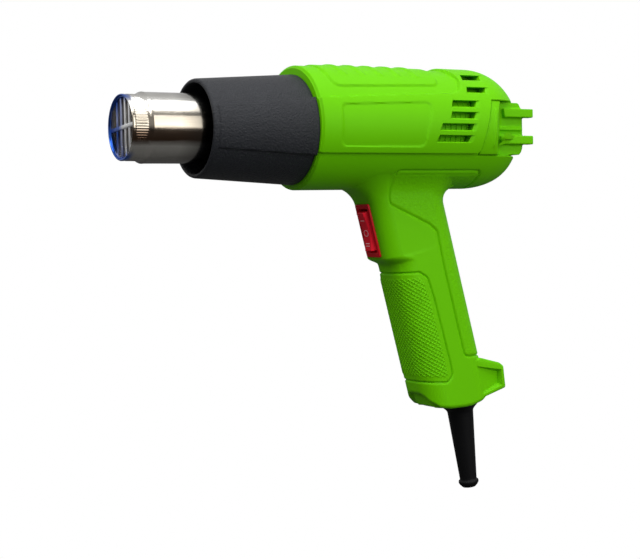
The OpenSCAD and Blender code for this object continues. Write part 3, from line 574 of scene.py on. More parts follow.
hollows = {
    "radius": 30.8, "start": 103.0, "bend": 212.0, "deep": 23.5, "end": 19.5, "mouth": 28.4, "half": 12.6,
    "round": 6.0, "ledges": ((-16.8, -14.7), (16.5, 18.6)),
}


def innerForms():
    # What is hollow inside the housing: barrel, mouth for the sleeve, and handle
    q = hollows
    turns = np.radians([15, 30, 45, 60, 75, 90])
    xs = [q["start"], q["bend"]] + [q["bend"] + q["deep"] * math.sin(k) for k in turns]
    radii = [q["radius"]] * 2 + [q["end"] + (q["radius"] - q["end"]) * math.cos(k) for k in turns]
    chamber = roundForm("hollow", xs, radii, barrel["axis"], 96)
    for low, high in q["ledges"]:
        combine(chamber, block("ledge", (215.5, -60, low), (260, 60, high)), "DIFFERENCE")
    mouth = roundForm("mouth", (98, 105), (q["mouth"], q["mouth"]), 0.0, 96)
    outline = [(-24.2, -16), (-24.2, -62), (-18.6, -70), (-18.6, -146), (19.2, -146), (19.2, -16)]
    stem = prism("gripHollow", sideOutline(outline), -q["half"], q["half"], q["round"], 4)
    return [chamber, mouth, stem]


coverBorder = [(204.2, -14.4), (206.4, -5.0), (208.2, 2.0), (210.6, 9.5), (213.4, 16.2)]
opening = {
    "gap": 0.25, "rim": 0.55, "deep": 8.0, "rimDepth": 0.6, "far": 270.0, "middle": 214.5,
    "middleHalf": 9.0,
}


def grownBorder(border, by):
    # The border moved forwards, with its two ends moved apart
    lift = [-by] + [0.0] * (len(border) - 2) + [by]
    return [(x - by, z + up) for (x, z), up in zip(border, lift)]


def coverOpening():
    # The opening that the rear cover fills, with a rounded-off border
    q = opening
    inner = grownBorder(coverBorder, q["gap"])
    outer = grownBorder(inner, q["rim"])
    inner, outer = ([*b[::-1], (q["far"], b[0][1]), (q["far"], b[-1][1])] for b in (inner, outer))
    low, high = inner[-2][1], inner[-1][1]
    middle = block("coverMiddle", (q["middle"], -q["middleHalf"], low), (q["far"], q["middleHalf"], high))
    pieces = [mouthCutter("coverMouth", inner, outer, side, q["deep"], q["rimDepth"]) for side in (-1, 1)]
    return pieces + [middle]


bosses = {
    "radius": 4.4, "recess": 3.1, "floor": 6.0, "reach": 15.0, "short": 0.8, "sides": 48,
    "barrel": [(119, 27.5), (119, -27.5), (184, 27.5), (212, -24.5)],
    "handle": [(10, -52), (2, -96), (-12, -146)],
}


def bossPlaces():
    # (x, z) of each screw, and how far its boss reaches to the side
    b = bosses
    out = [(x, z, math.sqrt(barrel["radius"] ** 2 - (abs(z) + b["radius"]) ** 2) - b["short"])
           for x, z in b["barrel"]]
    for u, w in b["handle"]:
        x, _, z = fromHandle((u, 0, w))
        out.append((float(x), float(z), b["reach"]))
    return out


def rodY(name, x, z, radius, y0, y1):
    t = np.linspace(0, 2 * math.pi, bosses["sides"], endpoint=False)
    u, v = x + radius * np.cos(t), z + radius * np.sin(t)
    return closedTube(name, np.array([np.stack([u, np.full(len(t), y), v], 1) for y in (y0, y1)]))


def buildHousing():
    form = barrelForm()
    print("barrel form", len(form.data.polygons))
    stem = handleForm()
    print("handle form", len(stem.data.polygons))
    combine(form, stem, "UNION")
    combine(form, heelForm(), "UNION")
    for space in innerForms():
        combine(form, space, "DIFFERENCE")
    cut = ventCutters() + coverOpening()
    window = sideOutline([(-36, -65.4), (-18, -65.4), (-18, -36.8), (-36, -36.8)])
    cut.append(prism("switchWindow", window, -6.3, 6.3))
    for piece in cut:
        combine(form, piece, "DIFFERENCE")
    combine(form, bootSeat(), "DIFFERENCE")
    shade(form, 32)
    halves = []
    for side, name in ((-1, "housingLeft"), (1, "housingRight")):
        half = form.copy()
        half.data = form.data.copy()
        half.name = half.data.name = name
        bpy.context.scene.collection.objects.link(half)
        near, far = sorted((side * 0.03, -side * 80))
        combine(half, block("away", (50, near, -260), (300, far, 80)), "DIFFERENCE")
        if side > 0:
            for x, z, reach in bossPlaces():
                combine(half, rodY("boss", x, z, bosses["radius"], 0.5, reach), "UNION")
                combine(half, rodY("recess", x, z, bosses["recess"], bosses["floor"], 60), "DIFFERENCE")
            shade(half, 32)
        halves.append(half)
    removePiece(form)
    return halves


boot = {
    "u": 6.1, "lean": math.radians(7.1), "length": 48.6, "top": 7.6, "end": 5.0, "flange": 11.4,
    "bore": 3.2, "neck": 7.0, "seat": 11.6, "seatNeck": 7.2, "seatDeep": 2.8,
}
bootCos, bootSin = math.cos(boot["lean"]), math.sin(boot["lean"])
bootFoot = fromHandle((boot["u"], 0, -handle["length"]))


def fromBoot(p):
    p = np.asarray(p, float)
    return np.stack([bootFoot[0] + p[..., 0] * bootCos - p[..., 2] * bootSin, p[..., 1],
                     bootFoot[2] + p[..., 0] * bootSin + p[..., 2] * bootCos], -1)


def bootRings(profile, around):
    # Rings about the boot's own axis from a profile of (height, radius)
    profile = np.array(profile, float)
    t = np.linspace(0, 2 * math.pi, around, endpoint=False)
    height = np.repeat(profile[:, :1], around, 1)
    return fromBoot(np.stack([profile[:, 1:2] * np.cos(t), profile[:, 1:2] * np.sin(t), height], 2))


def bootSeat():
    deep, wide, neck = boot["seatDeep"], boot["seat"], boot["seatNeck"]
    return closedTube("bootSeat", bootRings([(-20, wide), (deep, wide), (deep, neck), (14, neck)], 64))


housingHalves = buildHousing()
for half in housingHalves:
    print(half.name, "triangles", sum(len(p.vertices) - 2 for p in half.data.polygons))

# Sleeve, outlet and boot

sleeve = {
    "front": 41.0, "rear": 99.8, "frontR": 26.2, "rearR": 30.2, "neckR": 28.2, "wall": 2.4, "lip": 1.2,
    "bandRear": 2.4, "bandFront": 0.7, "bandTop": 10.8, "topRise": 4.2, "bandLow": -11.0, "lowDrop": 3.3,
    "bandStart": 3.2, "neckEnd": 103.2, "collarR": 29.8, "collarEnd": 105.2, "bore": 25.8,
    "boreEnd": 97.0,
}


def sleeveRadius(x):
    # How far along the sleeve a place is, from 0 to 1, and the radius there
    s = sleeve
    share = np.clip((x - s["front"]) / (s["rear"] - s["front"]), 0, 1)
    return share, s["frontR"] + (s["rearR"] - s["frontR"]) * share


def sleeveRipple(x, turn, r):
    # The side bands, which stand prouder towards the barrel
    s = sleeve
    share, base = sleeveRadius(x)
    z = r * np.sin(turn)
    past = np.maximum(z - (s["bandTop"] + s["topRise"] * share), s["bandLow"] - s["lowDrop"] * share - z)
    past = np.maximum(past, s["front"] + s["bandStart"] - x)
    proud = s["bandFront"] + (s["bandRear"] - s["bandFront"]) * share
    return np.where(r > base - 0.4, proud * inside(past, 0.9), 0.0)


def buildSleeve():
    s = sleeve
    lip = [(s["front"] + s["lip"] - s["lip"] * math.sin(a), s["frontR"] - s["lip"] + s["lip"] * math.cos(a))
           for a in np.radians([90, 70, 50, 30, 10])]
    along = spaced(s["front"] + 1.5, s["rear"] - 0.5, 0.8, [(s["front"] + 3, 2, 0.3)])
    outer = [(x, float(sleeveRadius(x)[1])) for x in along]
    tail = [(s["rear"] - 0.15, s["rearR"] - 0.1), (s["rear"], s["rearR"] - 0.45), (s["rear"], s["neckR"]),
            (s["neckEnd"], s["neckR"]), (s["neckEnd"], s["collarR"]), (s["collarEnd"], s["collarR"]),
            (s["collarEnd"], s["bore"]), (s["boreEnd"], s["bore"])]
    inner = [(x, s["bore"] - (s["boreEnd"] - x) * 2.0 / 55) for x in np.linspace(90, 44, 8)]
    bore = s["frontR"] - s["wall"]
    inner += [(s["front"] + 1.0, bore + 0.05), (s["front"] + 0.2, bore + 0.45)]
    piece = turned("frontSleeve", lip + outer + tail + inner, 420, 0.0, sleeveRipple)
    shade(piece, 40)
    return piece


outlet = {
    "lip": 17.25, "lipRound": 0.55, "lipLong": 0.75, "band": 8.4, "flare": 3.0, "tube": 18.5, "wall": 0.6,
    "flutes": 84, "fluteDepth": 0.16, "fluteMid": 5.1, "fluteHalf": 3.2, "dent": 0.05, "rear": 109.2,
}


def outletRipple(x, turn, r):
    # Crimp flutes round the front band, and the slight dents of a drawn tube
    o = outlet
    band = inside(np.abs(x - o["fluteMid"]) - o["fluteHalf"], 1.6) * (r > 16.9)
    flute = np.abs(np.sin(turn * o["flutes"] / 2))
    dents = o["dent"] * np.sin(turn * 3 + x * 0.4) * np.sin(x * 0.55) * inside(np.abs(x - 11) - 4, 4)
    return -o["fluteDepth"] * flute * band + dents


def buildOutlet():
    o = outlet
    lip, tube, wall, rolled = o["lip"], o["tube"], o["wall"], o["lipRound"]
    roll = [(o["lipLong"] - o["lipLong"] * math.sin(a), lip - rolled + rolled * math.cos(a))
            for a in np.radians([170, 140, 115, 90, 65, 40, 15])]
    outer = [(1.6, lip - 0.03), (2.1, lip - 0.18), (2.8, lip - 0.05)]
    outer += [(x, lip) for x in np.linspace(3.4, o["band"], 9)]
    for k in np.linspace(0.12, 1, 8):
        outer.append((o["band"] + k * o["flare"], lip + (tube + 0.12 - lip) * float(smooth(k))))
    outer += [(12.4, tube + 0.05), (13.2, tube)] + [(x, tube) for x in np.linspace(15, o["rear"], 30)]
    inner = [(x, tube - wall) for x in np.linspace(o["rear"], 12, 8)]
    inner += [(o["band"] + 0.3, lip - wall), (4, lip - wall), (1.4, lip - wall)]
    piece = turned("outletTube", roll + outer + inner, 672, 0.0, outletRipple)
    shade(piece, 50)
    return piece


def buildBoot():
    b = boot
    end, top, neck = -b["length"], b["top"], b["neck"]
    profile = [(9.2, b["bore"]), (9.2, 9.4), (8.8, 10.0), (6.6, 10.0), (6.2, 9.6), (6.2, neck), (2.6, neck),
               (2.6, 11.1), (2.3, b["flange"]), (1.9, 11.35), (1.4, 11.0), (0.2, 9.9), (-1.1, 8.6),
               (-2.2, 7.85), (-3.4, top)]
    for z in np.linspace(-6, end + 5, 24):
        profile.append((z, top + (b["end"] - top) * (-z - 3.4) / (b["length"] - 8.4)))
    # the bead at the cord's end
    profile += [(end + up, r) for up, r in ((4.5, 5.05), (4.2, 5.35), (3.9, 5.8), (3.4, 5.95), (2.5, 5.9),
                                            (1.5, 5.3), (0.4, 4.3), (0, 3.9), (0, b["bore"]))]
    piece = ringForm("cordBoot", bootRings(profile, 96))
    shade(piece, 40)
    return piece


sleevePiece = buildSleeve()
outletPiece = buildOutlet()
bootPiece = buildBoot()
print("sleeve, outlet and boot made")

# Rear cover

cover = {
    "ridge": 214.9, "lean": 0.07, "neck": 223.0, "side": 25.2, "rear": 241.6, "low": -14.4, "high": 16.2,
    "crownInset": 0.3, "wall": 2.5, "footSide": 28.0, "footEnd": 245.6, "footThick": 5.0, "footMid": 2.1,
    "footPitch": 15.4, "barPitch": 4.9, "bars": 5, "slotHalf": 13.0, "far": 260.0, "voxel": 0.45,
    "ridgeHigh": 0.75, "ridgeHalf": 0.6, "sunk": 0.08,
}


def crownSide(inset):
    # Side-view outline of the crowned rear, or of the space inside it
    c = cover
    back, front = c["rear"] - inset, 211.0 - inset
    low, high = c["low"] + c["crownInset"] + inset, c["high"] - c["crownInset"] - inset
    return roundCorners([(front, low), (back - 4, low), (back - 1, -10 + inset), (back, 0),
                         (back - 1.3, 10.9 - inset), (back - 4.8, high), (front, high)],
                        [0, 1.5, 2, 8, 2, 1.5, 0])


def coverPlan(name):
    # The cover narrows behind a leaning ridge, and its rear corners are round
    c = cover
    rows = []
    for z in (-30.0, 30.0):
        ridge, neck = c["ridge"] + c["lean"] * z, c["neck"] + c["lean"] * z
        outline = [(200, -50), (ridge, -50), (ridge, -34.6), (neck, -c["side"]), (c["rear"], -c["side"])]
        outline += [(x, -y) for x, y in outline[::-1]]
        flat = roundCorners(outline, [0, 0, 0, 3, 4, 4, 3, 0, 0, 0], 5)
        rows.append(np.stack([flat[:, 0], flat[:, 1], np.full(len(flat), z)], 1))
    return prismOf(name, rows)


def coverSkin():
    # The front of the cover follows the housing's skin, with a raised line along its ridge
    b, c = barrel, cover
    t = np.linspace(0, 2 * math.pi, 300, endpoint=False)
    xs = np.concatenate([[200.0], np.arange(203.5, 238.1, 0.45)])
    x, turn = np.meshgrid(xs, t, indexing="ij")
    r = domeFall(x, b["skinDome"], b["end"], b["skinRadius"], b["skinFlat"], math.radians(55))
    z = b["skinAxis"] + r * np.sin(turn)
    ridge = c["ridge"] + c["lean"] * z - 1.1
    line = np.exp(-((x - ridge) / c["ridgeHalf"]) ** 2) * inside(np.abs(z - 0.6) - 11.0, 2.0)
    r = r - c["ridgeHigh"] - c["sunk"] + c["ridgeHigh"] * line
    return closedTube("coverSkin", np.stack([x, r * np.cos(turn), b["skinAxis"] + r * np.sin(turn)], 2))


def coverHollow():
    c = cover
    front = roundForm("coverFront", (198.0, 214.0), (28.0, 28.0), barrel["axis"], 240)
    levels = block("coverLevels", (190, -40, c["low"] + 2.6), (212.4, 40, c["high"] - 2.6))
    combine(front, levels, "INTERSECT")
    rear = prism("coverRear", crownSide(c["wall"]), -c["side"] + c["wall"], c["side"] - c["wall"])
    return [front, rear]


def coverFeet():
    c = cover
    inner = c["side"] - c["wall"]
    out = []
    for side in (-1, 1):
        y0, y1 = sorted((side * inner, side * c["footSide"]))
        for row in (-1, 1):
            z = c["footMid"] + row * c["footPitch"] / 2
            x0 = c["neck"] + (-1.0 if row < 0 else 1.5)
            low, high = z - c["footThick"] / 2, z + c["footThick"] / 2
            outline = [(x0 + 0.6, low), (c["footEnd"], low), (c["footEnd"], high), (x0 - 0.4, high)]
            out.append(prism("foot", outline, y0, y1, 0.35, 2))
        y0, y1 = sorted((side * inner, side * (c["footSide"] - 1.4)))
        out.append(block("footRib", (c["neck"] - 2, y0, 0), (c["rear"] - 3, y1, 1.6)))
    return out


def buildCover():
    c = cover
    form = coverSkin()
    border = coverBorder + [(c["far"], c["high"]), (c["far"], c["low"])]
    combine(form, prism("border", border, -60, 60), "INTERSECT")
    combine(form, prism("crown", crownSide(0), -c["side"], c["side"]), "UNION")
    combine(form, coverPlan("coverPlan"), "INTERSECT")
    for space in coverHollow():
        combine(form, space, "DIFFERENCE")
    for k in range(c["bars"]):
        z = c["footMid"] + (k - c["bars"] // 2) * c["barPitch"]
        slot = block("backSlot", (c["rear"] - 8, -c["slotHalf"], z - 1.8), (c["far"], c["slotHalf"], z + 0.6))
        combine(form, slot, "DIFFERENCE")
    for piece in coverFeet():
        combine(form, piece, "UNION")
    melt = form.modifiers.new("melt", "REMESH")
    melt.mode = "VOXEL"
    melt.voxel_size = c["voxel"] * mm
    soft = form.modifiers.new("soft", "SMOOTH")
    soft.factor = 0.5
    soft.iterations = 2
    settle(form)
    form.name = form.data.name = "rearCover"
    shade(form, 50)
    print("rear cover", len(form.data.polygons))
    return form


coverPiece = buildCover()

# Switch

switch = {
    "mid": -51.1, "face": -27.95, "bezelLong": 31.0, "bezelWide": 14.0, "bezelThick": 1.2,
    "holeLong": 25.2, "holeWide": 9.9, "bodyDeep": 17.5, "paddleLong": 22.4, "paddleWide": 9.2,
    "rise": 2.5, "dip": 0.9, "pivot": 7.0, "pinRadius": 1.5, "pinHalf": 5.9, "markHigh": 0.12,
    "markSunk": 0.15, "markWide": 0.19, "markLong": 1.9, "strokes": [6.4, -6.9, -8.3], "ringAt": -1.0,
    "ringRadius": 2.1, "ringTall": 0.82,
}


def fromSwitch(p):
    # (out of the panel is -x, across is y, up the panel is z) to the object's frame
    p = np.asarray(p, float)
    return fromHandle(np.stack([p[..., 0] + switch["face"], p[..., 1], p[..., 2] + switch["mid"]], -1))


def plate(long, wide, corner):
    # A rounded rectangle about the switch's middle
    u, v = long / 2, wide / 2
    return roundCorners([(-u, -v), (u, -v), (u, v), (-u, v)], corner, 4)


def buildBezel():
    s = switch
    thick = s["bezelThick"]
    out = plate(s["bezelLong"], s["bezelWide"], 1.0)
    hole = plate(s["holeLong"], s["holeWide"], 0.5)
    levels = [(thick, out, 0), (0.35, out, 0), (0.1, out, -0.12), (0, out, -0.4), (0, hole, 0.55),
              (0.2, hole, 0.2), (0.6, hole, 0), (16, hole, 0), (s["bodyDeep"], out, -1.4), (thick, out, -1.4)]
    rows = []
    for depth, outline, grow in levels:
        q = outline * (1 + grow * 2 / np.ptp(outline, 0))
        rows.append(np.stack([np.full(len(q), depth), q[:, 1], q[:, 0]], 1))
    piece = ringForm("switchFrame", fromSwitch(np.array(rows)))
    shade(piece, 35)
    return piece


def curvedFace(z):
    s = switch
    return -(s["dip"] + (s["rise"] - s["dip"]) * np.clip(np.abs(z) / (s["paddleLong"] / 2), 0, 1) ** 2)


def buildPaddle():
    # A rocker whose face dips in the middle, with soft edges and three raised marks
    s = switch
    half, wide = s["paddleLong"] / 2, s["paddleWide"] / 2
    zs = spaced(-half, half, 0.3, [(-half, 0.6, 0.12), (half, 0.7, 0.12)])
    rows = []
    for z in zs:
        top = float(curvedFace(z))
        endSoft = 0.35 * (1 - min(1, (half - abs(z)) / 0.6)) ** 2
        keel = float(np.interp(abs(z), [3.4, half - 1], [9.6, 3.0]))
        edge = top + endSoft
        ring = [(edge + 2.6, -wide), (edge + 0.3, -wide + 1.2), (edge + 0.08, -wide + 1.35),
                (edge, -wide + 1.6)]
        ring += [(edge, y) for y in np.linspace(-wide + 2.0, wide - 2.0, 9)]
        ring += [(a, -b) for a, b in ring[3::-1]]
        ring += [(keel, wide - 0.05), (keel, -wide + 0.05)]
        rows.append([(a, b, z) for a, b in ring])
    body = closedTube("paddle", fromSwitch(np.array(rows)))
    t = np.linspace(0, 2 * math.pi, 32, endpoint=False)
    pin = [np.stack([s["pivot"] + s["pinRadius"] * np.cos(t), np.full(32, y), s["pinRadius"] * np.sin(t)], 1)
           for y in (-s["pinHalf"], s["pinHalf"])]
    combine(body, closedTube("trunnion", fromSwitch(np.array(pin))), "UNION")
    body.name = body.data.name = "switchPaddle"
    shade(body, 35)
    return body


def markEdges(place, halfWide):
    # Across a raised mark: how far along, and how high over the paddle's face
    s = switch
    return [(place - halfWide - 0.1, -s["markSunk"]), (place - halfWide, s["markHigh"]),
            (place + halfWide, s["markHigh"]), (place + halfWide + 0.1, -s["markSunk"])]


def markBar(z, halfLong, halfWide):
    # A raised stroke that lies across the paddle
    rows = [[(float(curvedFace(k)) - lift, y, k) for k, lift in markEdges(z, halfWide)]
            for y in np.linspace(-halfLong, halfLong, 7)]
    return closedTube("stroke", fromSwitch(np.array(rows)))


def markRing(z, radius, halfWide):
    t = np.linspace(0, 2 * math.pi, 40, endpoint=False)
    rows = []
    for r, lift in markEdges(radius, halfWide)[::-1]:
        along = z + r * np.sin(t) * switch["ringTall"]
        rows.append(np.stack([curvedFace(along) - lift, r * np.cos(t), along], 1))
    return ringForm("ring", fromSwitch(np.array(rows)))


def buildMarks():
    s = switch
    strokes = [markBar(z, s["markLong"], s["markWide"]) for z in s["strokes"]]
    piece = join(strokes + [markRing(s["ringAt"], s["ringRadius"], s["markWide"])], "switchMarks")
    shade(piece, 35)
    return piece


bezelPiece = buildBezel()
paddlePiece = buildPaddle()
marksPiece = buildMarks()
print("switch made")

# Node helpers, for shaders and for geometry


def link(tree, a, b):
    tree.links.new(a, b)


def put(tree, kind, settings=None, **inputs):
    # A node with its inputs linked to sockets or set to values; _1 stands for an input's number
    node = tree.nodes.new(kind)
    for key, value in (settings or {}).items():
        setattr(node, key, value)
    for key, value in inputs.items():
        socket = node.inputs[int(key[1:])] if key[0] == "_" else node.inputs[key.replace("_", " ")]
        for one in value if isinstance(value, list) else [value]:
            if isinstance(one, bpy.types.NodeSocket):
                link(tree, one, socket)
            else:
                socket.default_value = one
    return node


def mathNode(tree, how, a, b=None, clamp=False):
    given = {"_0": a} if b is None else {"_0": a, "_1": b}
    return put(tree, "ShaderNodeMath", {"operation": how, "use_clamp": clamp}, **given).outputs[0]


def times(tree, a, b):
    return mathNode(tree, "MULTIPLY", a, b)


def plus(tree, a, b, clamp=False):
    return mathNode(tree, "ADD", a, b, clamp)


def minus(tree, a, b, clamp=False):
    return mathNode(tree, "SUBTRACT", a, b, clamp)


def centred(tree, pattern, amount):
    # A pattern from 0 to 1 as plus or minus half the amount
    return times(tree, minus(tree, pattern, 0.5), amount)


def rgba(colour):
    return tuple(colour) + (1.0,) * (4 - len(colour))


def objectPlace(tree):
    return tree.nodes.new("ShaderNodeTexCoord").outputs["Object"]


def noiseNode(tree, scale, detail=2.0, rough=0.5, stretch=None):
    place = objectPlace(tree)
    if stretch:
        place = put(tree, "ShaderNodeMapping", Vector=place, Scale=stretch).outputs[0]
    noise = put(tree, "ShaderNodeTexNoise", Vector=place, Scale=scale, Detail=detail, Roughness=rough)
    return noise.outputs[0]


def mixColour(tree, factor, a, b, how="MIX"):
    a, b = (rgba(c) if isinstance(c, (tuple, list)) else c for c in (a, b))
    settings = {"data_type": "RGBA", "blend_type": how}
    return put(tree, "ShaderNodeMix", settings, _0=factor, _6=a, _7=b).outputs[2]


def rampNode(tree, source, stops):
    node = put(tree, "ShaderNodeValToRGB", _0=source)
    ramp = node.color_ramp
    while len(ramp.elements) < len(stops):
        ramp.elements.new(0.5)
    for e, (place, colour) in zip(ramp.elements, stops):
        e.position = place
        e.color = rgba(colour)
    return node.outputs[0]


def bumpNode(tree, height, shader, strength, distance):
    node = put(tree, "ShaderNodeBump", Strength=strength, Distance=distance, Height=height)
    link(tree, node.outputs[0], shader.inputs["Normal"])


def emptyTree(owner):
    owner.use_nodes = True
    owner.node_tree.nodes.clear()
    return owner.node_tree


# Materials

grain = {
    "wideScale": 22.0, "fineScale": 900.0, "edgeFrom": 0.54, "edgeGain": 9.0, "roughDrift": 0.12,
    "edgeShine": 0.4,
}


def mouldGrain():
    # Colour drift, a fine moulded grain and rubbed edges, for every plastic here
    tree = bpy.data.node_groups.new("mouldGrain", "ShaderNodeTree")
    face = tree.interface
    face.new_socket("Colour", in_out="INPUT", socket_type="NodeSocketColor")
    for name, value in (("Drift", 0.05), ("Grain Scale", grain["fineScale"]), ("Grain Height", 0.1),
                        ("Edge Wear", 0.15), ("Roughness", 0.4)):
        face.new_socket(name, in_out="INPUT", socket_type="NodeSocketFloat").default_value = value
    for name, kind in (("Colour", "Color"), ("Roughness", "Float"), ("Height", "Float")):
        face.new_socket(name, in_out="OUTPUT", socket_type="NodeSocket" + kind)
    given = tree.nodes.new("NodeGroupInput").outputs
    wide = noiseNode(tree, grain["wideScale"], 3.0)
    fine = noiseNode(tree, grain["fineScale"], 3.0, 0.6)
    link(tree, given["Grain Scale"], fine.node.inputs["Scale"])
    sharpness = tree.nodes.new("ShaderNodeNewGeometry").outputs["Pointiness"]
    edge = mathNode(tree, "MULTIPLY", minus(tree, sharpness, grain["edgeFrom"]), grain["edgeGain"], True)
    edge = times(tree, edge, given["Edge Wear"])
    bright = plus(tree, 1.0, plus(tree, times(tree, centred(tree, wide, given["Drift"]), 2.0), edge))
    colour = put(tree, "ShaderNodeVectorMath", {"operation": "SCALE"}, _0=given["Colour"], Scale=bright)
    rough = plus(tree, given["Roughness"], centred(tree, fine, grain["roughDrift"]))
    rough = minus(tree, rough, times(tree, edge, grain["edgeShine"]), True)
    height = times(tree, fine, given["Grain Height"])
    put(tree, "NodeGroupOutput", Colour=colour.outputs[0], Roughness=rough, Height=height)
    return tree


grainGroup = mouldGrain()


def newMaterial(name):
    m = bpy.data.materials.new(name)
    tree = emptyTree(m)
    shader = tree.nodes.new("ShaderNodeBsdfPrincipled")
    put(tree, "ShaderNodeOutputMaterial", _0=shader.outputs[0])
    return m, tree, shader


def plastic(name, colour, rough, specular, drift, scale, height, wear, bump, extra=None):
    m, tree, shader = newMaterial(name)
    g = put(tree, "ShaderNodeGroup", {"node_tree": grainGroup}, Colour=rgba(colour), Drift=drift,
            Grain_Scale=scale, Grain_Height=height, Edge_Wear=wear, Roughness=rough)
    link(tree, g.outputs["Colour"], shader.inputs["Base Color"])
    link(tree, g.outputs["Roughness"], shader.inputs["Roughness"])
    shader.inputs["Specular IOR Level"].default_value = specular
    top = g.outputs["Height"]
    if extra:
        top = extra(tree, top)
    bumpNode(tree, top, shader, bump, 0.0003)
    return m


def gripGrain(tree, height):
    # Coarse spark texture where the mesh says that the saddle panel is
    mask = put(tree, "ShaderNodeAttribute", {"attribute_name": "saddle"})
    spark = noiseNode(tree, 620.0, 2.0, 0.65)
    return plus(tree, height, times(tree, times(tree, spark, mask.outputs["Fac"]), 9.0))


drawn = {
    "drift": 0.12, "marks": (12.0, 420.0, 420.0), "cloudScale": 60.0, "marksRough": 0.25,
    "cloudRough": 0.2,
}


def metal(name, colour, rough, streak, bump, paintedLight=None):
    # Metal with drawing marks along the barrel and drifting shine
    q = drawn
    m, tree, shader = newMaterial(name)
    marks = noiseNode(tree, 3.0, 4.0, 0.5, q["marks"])
    cloud = noiseNode(tree, q["cloudScale"], 4.0, 0.6)
    shader.inputs["Metallic"].default_value = 1.0
    dark = [c * (1 - q["drift"]) for c in colour]
    light = [min(1, c * (1 + q["drift"])) for c in colour]
    tone = mixColour(tree, cloud, dark, light)
    # painted reflection and shade on the colour, for the outlet and the grille
    if paintedLight:
        tone = paintedLight(tree, tone)
    link(tree, tone, shader.inputs["Base Color"])
    r = plus(tree, rough, centred(tree, marks, q["marksRough"]))
    r = plus(tree, r, centred(tree, cloud, q["cloudRough"]), True)
    link(tree, r, shader.inputs["Roughness"])
    bumpNode(tree, plus(tree, marks, times(tree, cloud, streak)), shader, bump, 0.0001)
    return m


def spread(tree, value, low, high):
    # 0 at low, 1 at high
    return put(tree, "ShaderNodeMapRange", _0=value, _1=low, _2=high).outputs[0]


def objectAxes(tree):
    return put(tree, "ShaderNodeSeparateXYZ", _0=objectPlace(tree)).outputs


# a painted blue reflection: where it lies round the rim, and its colour
blueReflection = {
    "wander": 0.004, "side": (-0.001, 0.004), "tip": (0.0125, 0.0155), "reach": (0.0036, 0.0012),
    "colour": (0.035, 0.12, 0.5),
}


def paintedBlueReflection(tree, colour):
    # Painted blue reflection on the rim: on its far side, its top and its foot
    x, y, z = objectAxes(tree)
    wander = centred(tree, noiseNode(tree, 90.0, 3.0), blueReflection["wander"])
    side = spread(tree, plus(tree, y, wander), *blueReflection["side"])
    tip = spread(tree, mathNode(tree, "ABSOLUTE", z), *blueReflection["tip"])
    near = spread(tree, plus(tree, x, wander), *blueReflection["reach"])
    blue = times(tree, mathNode(tree, "MAXIMUM", side, tip), near)
    return mixColour(tree, blue, colour, blueReflection["colour"])


# the bands are a painted reflection by height round the tube, and shade is a painted shade towards the sleeve
tubeLook = {
    "marks": (26.0, 260.0, 260.0), "wave": 0.004, "half": 0.0186, "shadeFrom": 0.026, "shadeTo": 0.044,
    "shade": (0.06, 0.055, 0.05),
    "bands": [(0.0, (0.22, 0.21, 0.2)), (0.1, (0.62, 0.6, 0.56)), (0.22, (0.75, 0.73, 0.69)),
              (0.3, (0.1, 0.06, 0.038)), (0.42, (0.15, 0.105, 0.075)), (0.5, (0.4, 0.36, 0.29)),
              (0.62, (0.3, 0.27, 0.22)), (0.72, (0.55, 0.52, 0.46)), (0.82, (1.0, 1.0, 0.98)),
              (0.9, (0.8, 0.79, 0.76)), (1.0, (0.38, 0.37, 0.35))],
}


def tubeReflectionAndShade(tree, colour):
    # Painted reflection: streaky light and dark bands by height round the tube, some of them brown, with a
    # painted white highlight band, and painted shade where it runs into the sleeve
    x, _, z = objectAxes(tree)
    wave = centred(tree, noiseNode(tree, 1.0, 5.0, 0.62, tubeLook["marks"]), tubeLook["wave"])
    level = spread(tree, plus(tree, z, wave), -tubeLook["half"], tubeLook["half"])
    # painted reflection bands by height, with a painted white highlight band
    band = rampNode(tree, level, tubeLook["bands"])
    # painted shade, darker where the tube runs into the sleeve
    deep = spread(tree, plus(tree, x, wave), tubeLook["shadeFrom"], tubeLook["shadeTo"])
    band = mixColour(tree, deep, band, tubeLook["shade"])
    return paintedBlueReflection(tree, mixColour(tree, 1.0, colour, band, "MULTIPLY"))


